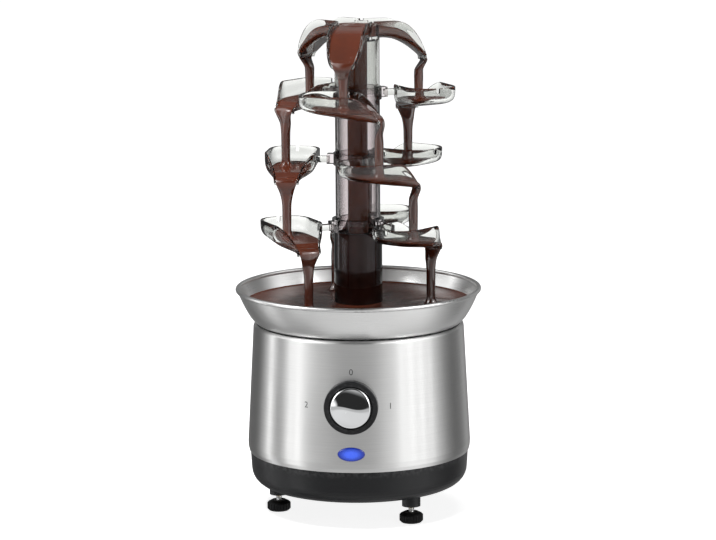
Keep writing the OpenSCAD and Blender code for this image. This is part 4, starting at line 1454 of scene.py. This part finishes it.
@dataclass
class Controls:
    """The pinch knob, its dial figures and the lit lens."""

    axis_z: float = 107.6
    back: float = 94.5
    knob_r: float = 17.5
    knob_depth: float = 8.9
    ridge_half: float = 1.4
    ridge_wave: float = 1.3
    ridge_crown: float = 2.0
    slope_power: float = 1.35
    edge_z: float = 2.2
    edge_r: float = 1.6
    edge_low: float = 1.4
    bore_r: float = 7.0
    bore_depth: float = 2.8
    knob_sharp: float = 45.0
    knob_places: int = 128
    knob_rows: Rows = ((0.02, 0.86, 40), (0.875, 1.0, 14))
    lens_z: float = 68.0
    lens_half: Pair = (11.35, 5.8)
    lens_proud: float = 1.2
    lens_sunk: float = 3.0
    lens_sharp: float = 40.0
    lens_places: int = 96
    lens_rows: Rows = ((0.02, 0.8, 12), (0.84, 1.0, 10))
    lens_power: int = 5
    belly: Pair = (95.1, 59.8)  # radius, height
    top: Pair = (89.7, 159.2)  # radius, height
    figures: tuple[tuple[str, float, float], ...] = (("2", -39.0, 0.0), ("0", 0.0, 29.0), ("1", 33.0, 0.0))
    figure_h: float = 5.0
    figure_steps: int = 6
    cap_share: float = 0.7
    print_proud: float = 0.06

    def housing_r(self, z: Value) -> Value:
        """Returns the housing's radius at a height on its straight cone."""
        return lerp(self.belly[0], self.top[0], (z - self.belly[1]) / (self.top[1] - self.belly[1]))

    def knob(self) -> None:
        """Makes the knob with a waved ridge between two hollowed slopes."""
        a, knob_r = angles(self.knob_places), self.knob_r
        rings = []
        for r in spaced(self.knob_rows) * knob_r:
            x, y = r * np.cos(a), r * np.sin(a)
            wave = -self.ridge_wave * np.sin(np.pi * x / knob_r)
            down = np.sqrt((y - wave) ** 2 + self.ridge_half**2) - self.ridge_half
            top = self.knob_depth - self.ridge_crown * (x / knob_r) ** 2
            hollow = 1.0 - (1.0 - share(down, 0.0, knob_r)) ** self.slope_power
            height = lerp(top, self.edge_z, hollow)
            edge = np.sqrt(1.0 - share(r, knob_r - self.edge_r, knob_r) ** 2)
            rings.append(ring(r, a, lerp(np.minimum(height, self.edge_low), height, edge)))
        for r, depth in ((knob_r, 0.0), (self.bore_r, 0.0), (self.bore_r, self.bore_depth)):
            rings.append(ring(r, a, depth))
        x, y, z = np.moveaxis(np.array(rings), -1, 0)
        points = np.stack([x, -z - self.back, y + self.axis_z], axis=-1)
        knob = skinned("knob_pinch", self.knob_sharp, points)
        placed(knob, Body.KNOB, Slot.CHROME, Finish.CHROME, "knob")

    def lens(self) -> None:
        """Makes the oval lens, domed over the housing's curve."""
        a, across = angles(self.lens_places), spaced(self.lens_rows)
        rows = [(u, self.lens_proud * (1.0 - u**self.lens_power) ** 0.5) for u in across]
        points = []
        for u, proud in [*rows, (1.0, -self.lens_sunk), (across[0], -self.lens_sunk)]:
            x, z = self.lens_half[0] * u * np.cos(a), self.lens_half[1] * u * np.sin(a) + self.lens_z
            points.append(np.stack([x, -np.sqrt((self.housing_r(z) + proud) ** 2 - x**2), z], axis=1))
        finish = LitLens("blue_lit_lens", (0.0, self.lens_z), self.lens_half)
        lens = skinned("indicator_lens_dome", self.lens_sharp, np.array(points))
        placed(lens, Body.BASE, Slot.BLUE_LENS, finish, "indicator_lens")

    def figure(self, text: str, x: float, z: float) -> None:
        """Prints a dial figure on the housing.

        Args:
            text: Figure to print.
            x: Place across the front.
            z: Height of its middle.
        """
        curve = bpy.data.curves.new(f"figure_{text}", "FONT")
        curve.body = text
        curve.size = self.figure_h * MM / self.cap_share
        curve.align_x, curve.align_y = "CENTER", "CENTER"
        curve.resolution_u = self.figure_steps
        source = linked(f"figure_{text}", curve)
        mesh = as_mesh(source)
        bpy.data.objects.remove(source)
        for v in mesh.vertices:
            r = self.housing_r(z + v.co.y / MM) + self.print_proud
            turn = math.degrees((x + v.co.x / MM) / r)
            v.co = from_front(r, turn, z + v.co.y / MM) * MM
        placed(linked(f"dial_figure_{text}", mesh), Body.BASE, Slot.BLACK_PLASTIC, Finish.PRINT_INK)

    def build(self) -> None:
        """Makes the controls."""
        self.knob()
        self.lens()
        for text, x, up in self.figures:
            self.figure(text, x, self.axis_z + up)
        dressed(Finish.BLACK, "knob_bezel", "rotary_switch")
        dressed(Finish.PLATED, "knob_spindle")
        dressed(Finish.BRASS, "switch_nut")
        dressed(Finish.IVORY, "indicator_lamp")


@dataclass
class Feet:
    """The levelling feet: fluted pads on threaded studs."""

    circle_r: float = 70.0
    angle: float = 42.5
    stud_r: float = 2.5
    low: float = 3.0
    high: float = 32.0
    pitch: float = 0.8
    pitch_rows: int = 6
    thread_depth: float = 0.42
    places: int = 28
    lead: float = 0.8
    sharp: float = 80.0

    def stud(self) -> Array:
        """Returns rings of a threaded stud about its own axis."""
        a = angles(self.places)
        rings = []
        for z in np.arange(self.low, self.high + 1e-6, self.pitch / self.pitch_rows):
            phase = np.mod(z / self.pitch - a / (2.0 * np.pi), 1.0)
            crest = (1.0 - np.abs(2.0 * phase - 1.0)) * share(self.high - z, 0.0, self.lead)
            rings.append(ring(self.stud_r - self.thread_depth * (1.0 - crest), a, z))
        return np.array(rings)

    def build(self) -> None:
        """Makes the studs and dresses the pads."""
        rings = self.stud()
        for k, turn in enumerate(AROUND, start=1):
            points = rings + from_front(self.circle_r, self.angle + turn)
            stud = skinned(f"foot_stud_{k}_thread", self.sharp, points)
            placed(stud, Body[f"FOOT_{k}"], Slot.CHROME, Finish.CHROME, f"foot_stud_{k}")
            dressed(Finish.RUBBER, f"foot_pad_{k}")


@dataclass
class BaseUnit:
    """The steel housing, the bowl, the base pan and what they hold."""

    groups: tuple[tuple[Finish, tuple[str, ...]], ...] = (
        (Finish.HOUSING_STEEL, ("housing",)),
        (Finish.BOWL_STEEL, ("bowl",)),
        (Finish.BLACK, ("base_pan",)),
        (Finish.RUBBER, ("bowl_gasket", "shaft_seal", "cord_gland")),
        (Finish.PLATED, ("motor", "gearbox", "motor_bracket", "motor_posts", "bracket_screws", "base_screws",
                         "drive_shaft", "thermal_fuse")),
        (Finish.BRASS, ("shaft_bush", "foot_inserts")),
        (Finish.ALUMINIUM, ("heater_plate",)),
        (Finish.HEATED, ("heater_element",)),
        (Finish.IVORY, ("thermostat", "terminal_block", "drive_coupling")),
        (Finish.AUGER, ("auger",)),
    )

    def build(self) -> None:
        """Dresses the CAD nodes of the base and the drive."""
        for finish, nodes in self.groups:
            dressed(finish, *nodes)


@dataclass
class Tower:
    """The clear tubes and the riser, which is full of lifted chocolate."""

    tubes: tuple[str, ...] = ("lower_tube", "middle_tube", "upper_tube")

    def build(self) -> None:
        """Dresses the tubes and the riser."""
        dressed(Finish.TUBE, *self.tubes)
        dressed(Finish.RISER, "riser_tube")


@dataclass(frozen=True)
class Lamp:
    """A soft square lamp, its places and its side in metres and its power in watts."""

    name: str
    place: Triple
    side: float
    power: float
    part: LampPart = LampPart.LIGHT
    aim: Triple = (0.0, 0.0, 0.2)

    def build(self) -> None:
        """Hangs the lamp so that it faces the object."""
        data = bpy.data.lights.new(self.name, "AREA")
        data.energy, data.size = self.power, self.side
        lamp = linked(self.name, data)
        lamp.location = self.place
        lamp.visible_camera = False
        lamp.visible_glossy = self.part is LampPart.GLINT
        lamp.visible_diffuse = self.part is LampPart.LIGHT
        lamp.visible_transmission = self.part is LampPart.LIGHT
        lamp.rotation_mode = "QUATERNION"
        lamp.rotation_quaternion = (Vector(self.aim) - Vector(self.place)).to_track_quat("-Z", "Y")


@dataclass
class Studio:
    """The plain pale room: world, floor, lamps and camera. Light levels go by angle from the front."""

    distance: float = 2600.0
    height: float = 669.8
    azimuth: float = 4.2
    level_tilt: float = 90.0
    pitch: float = -10.11
    aside: float = 2.02
    shift: float = -0.151
    lens: float = 156.0
    sensor: float = 36.0
    clip: Pair = (0.05, 100.0)
    bounces: int = 24
    glossy_bounces: int = 8
    bounce_gate: float = 0.5  # between no bounce and one
    floor_z: float = -0.2
    floor_rings: Triple = (1.0, 400.0, 30000.0)
    floor_places: int = 96
    floor_tones: tuple[Colour, Colour] = ((0.8, 0.8, 0.8), (0.82, 0.82, 0.82))
    floor_cloud: Triple = (3.0, 0.6, 0.75)  # scale, low, high
    floor_glow: float = 0.88
    glow_reach: Pair = (0.2, 0.9)  # metres from the middle
    ambient: float = 0.05
    overhead: float = 0.15
    peak: float = 6.0
    wall_loss: float = 0.7
    upper_from: Pair = (0.3, 0.45)  # upward part of the direction, as in the next two
    overhead_from: Pair = (0.76, 0.86)
    below_from: Pair = (-0.5, -0.8)
    softboxes: tuple[Pair, ...] = (
        (-180, 0.2), (-165, 0.25), (-150, 0.15), (-126, 0.15), (-112, 0.7), (-104, 1.1), (-98, 0.9),
        (-94, 0.3), (-85, 0.4), (-78, 1.0), (-68, 1.1), (-58, 1.0), (-51, 0.6), (-40, 0.55), (-10, 0.6),
        (12, 0.62), (24, 0.66), (33, 0.85), (44, 0.95), (60, 1.05), (76, 1.1), (90, 0.95), (100, 0.6),
        (109, 0.3), (122, 0.16), (142, 0.25), (152, 0.5), (165, 0.3), (180, 0.2))
    upper: tuple[Pair, ...] = (
        (-180, 0.25), (-125, 0.25), (-95, 2.3), (-34, 2.3), (-22, 0.03), (22, 0.03), (34, 2.3), (95, 2.3),
        (125, 0.25), (180, 0.25))
    below: tuple[Pair, ...] = (
        (-180, 0.4), (-139, 0.22), (-119, 0.28), (-104, 0.3), (-90, 0.22), (-78, 0.25), (-66, 0.65),
        (-55, 0.88), (0, 0.88), (45, 0.9), (75, 0.82), (100, 0.7), (126, 0.55), (150, 0.6), (180, 0.5))
    strips: tuple[Pair, ...] = (
        (-104, 3.0), (-74, 2.6), (-63, 2.6), (50, 1.8), (62, 2.0), (74, 2.2), (86, 1.6))
    strip_half: float = 2.5
    lamps: tuple[Lamp, ...] = (
        Lamp("key", (-0.35, -0.75, 2.05), 0.7, 38.0),
        Lamp("fill", (1.4, -1.3, 0.9), 0.9, 2.0),
        Lamp("top", (0.1, 0.3, 1.9), 1.1, 8.0),
        Lamp("left_glint", (-1.3, -0.75, 1.35), 0.45, 8.0, LampPart.GLINT),
        Lamp("right_glint", (1.3, -0.75, 1.2), 0.35, 5.0, LampPart.GLINT))

    def grey(self, level: float) -> Colour:
        """Returns a light level as a grey that is a share of the peak."""
        return (level / self.peak,) * 3

    def ramp(self, graph: Graph, turn: Socket, stops: Sequence[Pair]) -> Socket:
        """Adds light levels all round the object.

        Args:
            graph: Node tree of the world.
            turn: Direction round the object, from 0 to 1.
            stops: Angle from the front and level of each stop.

        Returns:
            The level as a colour, as a share of the peak.
        """
        node = graph.add("ValToRGB", {0: turn})
        elements = node.color_ramp.elements
        elements.remove(elements[-1])
        for k, (angle, level) in enumerate(stops):
            position = (angle + 180.0) / 360.0
            stop = elements.new(position) if k else elements[0]
            stop.position = position
            stop.color = (*self.grey(level), 1.0)
        return node.outputs[0]

    def world(self) -> None:
        """Makes a white world whose reflections hold soft boxes and narrow strips all round."""
        world = bpy.data.worlds.new("studio")
        bpy.context.scene.world = world
        world.use_nodes = True
        world.node_tree.nodes.clear()
        world.cycles.sampling_method = "NONE"
        graph = Graph(world.node_tree)
        x, y, z = graph.axes(graph.add("TexCoord").outputs["Generated"])
        turn = graph.math("ARCTAN2", x, graph.math("MULTIPLY", y, -1.0))
        turn = graph.ranged(turn, -math.pi, math.pi)
        narrow = [(-180.0, 0.0)]
        for angle, level in self.strips:
            narrow += [(angle - self.strip_half, 0.0), (angle, level), (angle + self.strip_half, 0.0)]
        boxes, strips = self.ramp(graph, turn, self.softboxes), self.ramp(graph, turn, narrow)
        light = graph.blend(1.0, boxes, strips, "ADD")
        light = graph.blend(graph.ranged(z, *self.upper_from), light, self.ramp(graph, turn, self.upper))
        light = graph.blend(graph.ranged(z, *self.overhead_from), light, self.grey(self.overhead))
        light = graph.blend(graph.ranged(z, *self.below_from), light, self.ramp(graph, turn, self.below))
        path = graph.add("LightPath").outputs
        straight = graph.math("LESS_THAN", path["Glossy Depth"], self.bounce_gate)
        through = graph.math("MULTIPLY", path["Is Transmission Ray"], straight)
        plain = graph.math("MAXIMUM", path["Is Camera Ray"], through)
        turns = graph.math("MINIMUM", path["Transmission Depth"], path["Glossy Depth"])
        trapped = graph.math("GREATER_THAN", turns, self.bounce_gate)
        light = graph.blend(graph.math("MULTIPLY", trapped, self.wall_loss), light, self.grey(0.0))
        light = graph.blend(path["Is Diffuse Ray"], light, self.grey(self.ambient))
        colour = graph.blend(plain, light, self.grey(1.0))
        background = graph.add("Background", {"Color": colour, "Strength": self.peak})
        graph.add("OutputWorld", {0: background.outputs[0]})

    def floor(self) -> None:
        """Makes the pale floor, white to the camera and keeping the shadow."""
        a = angles(self.floor_places)
        draft = Draft()
        first = draft.add_grid(np.array([ring(r, a, self.floor_z) for r in self.floor_rings]))
        draft.add_fan(range(first, first + len(a)), np.array([0.0, 0.0, self.floor_z]))
        floor = draft.finished("studio_floor", LATHE_SHARP)
        surface = Surface("pale_floor")
        cloud = surface.use(mottle(), *self.floor_cloud)
        path = surface.add("LightPath").outputs
        direct = surface.math("MAXIMUM", path["Is Transmission Ray"], path["Is Glossy Ray"])
        direct = surface.math("MAXIMUM", path["Is Camera Ray"], direct)
        away = surface.add("VectorMath", {0: surface.spot()}, operation="LENGTH").outputs["Value"]
        level = surface.ranged(away, *self.glow_reach, self.floor_glow, 1.0)
        glow = surface.add("Emission", {"Strength": surface.math("MULTIPLY", direct, level)})
        total = surface.add("AddShader", {0: surface.shader.outputs[0], 1: glow.outputs[0]})
        surface.fill(surface.sink, {0: total.outputs[0]})
        coated(floor.data, surface.finished({
            "Base Color": surface.blend(cloud["Mask"], *self.floor_tones),
            "Roughness": cloud["Level"],
            "Specular IOR Level": 0.0,
        }))
        floor.visible_glossy = False

    def camera(self) -> None:
        """Sets the camera at the viewing angle of the photograph."""
        data = bpy.data.cameras.new("camera")
        data.lens, data.sensor_width, data.shift_x = self.lens, self.sensor, self.shift
        data.clip_start, data.clip_end = self.clip
        camera = linked("camera", data)
        camera.location = from_front(self.distance, self.azimuth, self.height) * MM
        tilt, turn = math.radians(self.level_tilt + self.pitch), math.radians(self.azimuth - self.aside)
        camera.rotation_euler = Euler((tilt, 0.0, turn))
        bpy.context.scene.camera = camera

    def build(self) -> None:
        """Sets up the room."""
        scene = bpy.context.scene
        scene.view_settings.view_transform = "Standard"
        scene.cycles.max_bounces = self.bounces
        scene.cycles.transmission_bounces = self.bounces
        scene.cycles.glossy_bounces = self.glossy_bounces
        self.world()
        self.floor()
        for lamp in self.lamps:
            lamp.build()
        self.camera()


def main() -> None:
    """Builds the studio and every sub-assembly."""
    logging.basicConfig(level=logging.INFO, format="%(name)s: %(message)s")
    cup, chute, bowl = CupForm(), ChuteForm(), BowlForm()
    cascade = Cascade(cup, chute, bowl)
    for part in (Studio(), BaseUnit(), Controls(), Feet(), Tower(), Cups(cup), Crown(chute), cascade):
        part.build()


if __name__ == "__main__":
    main()
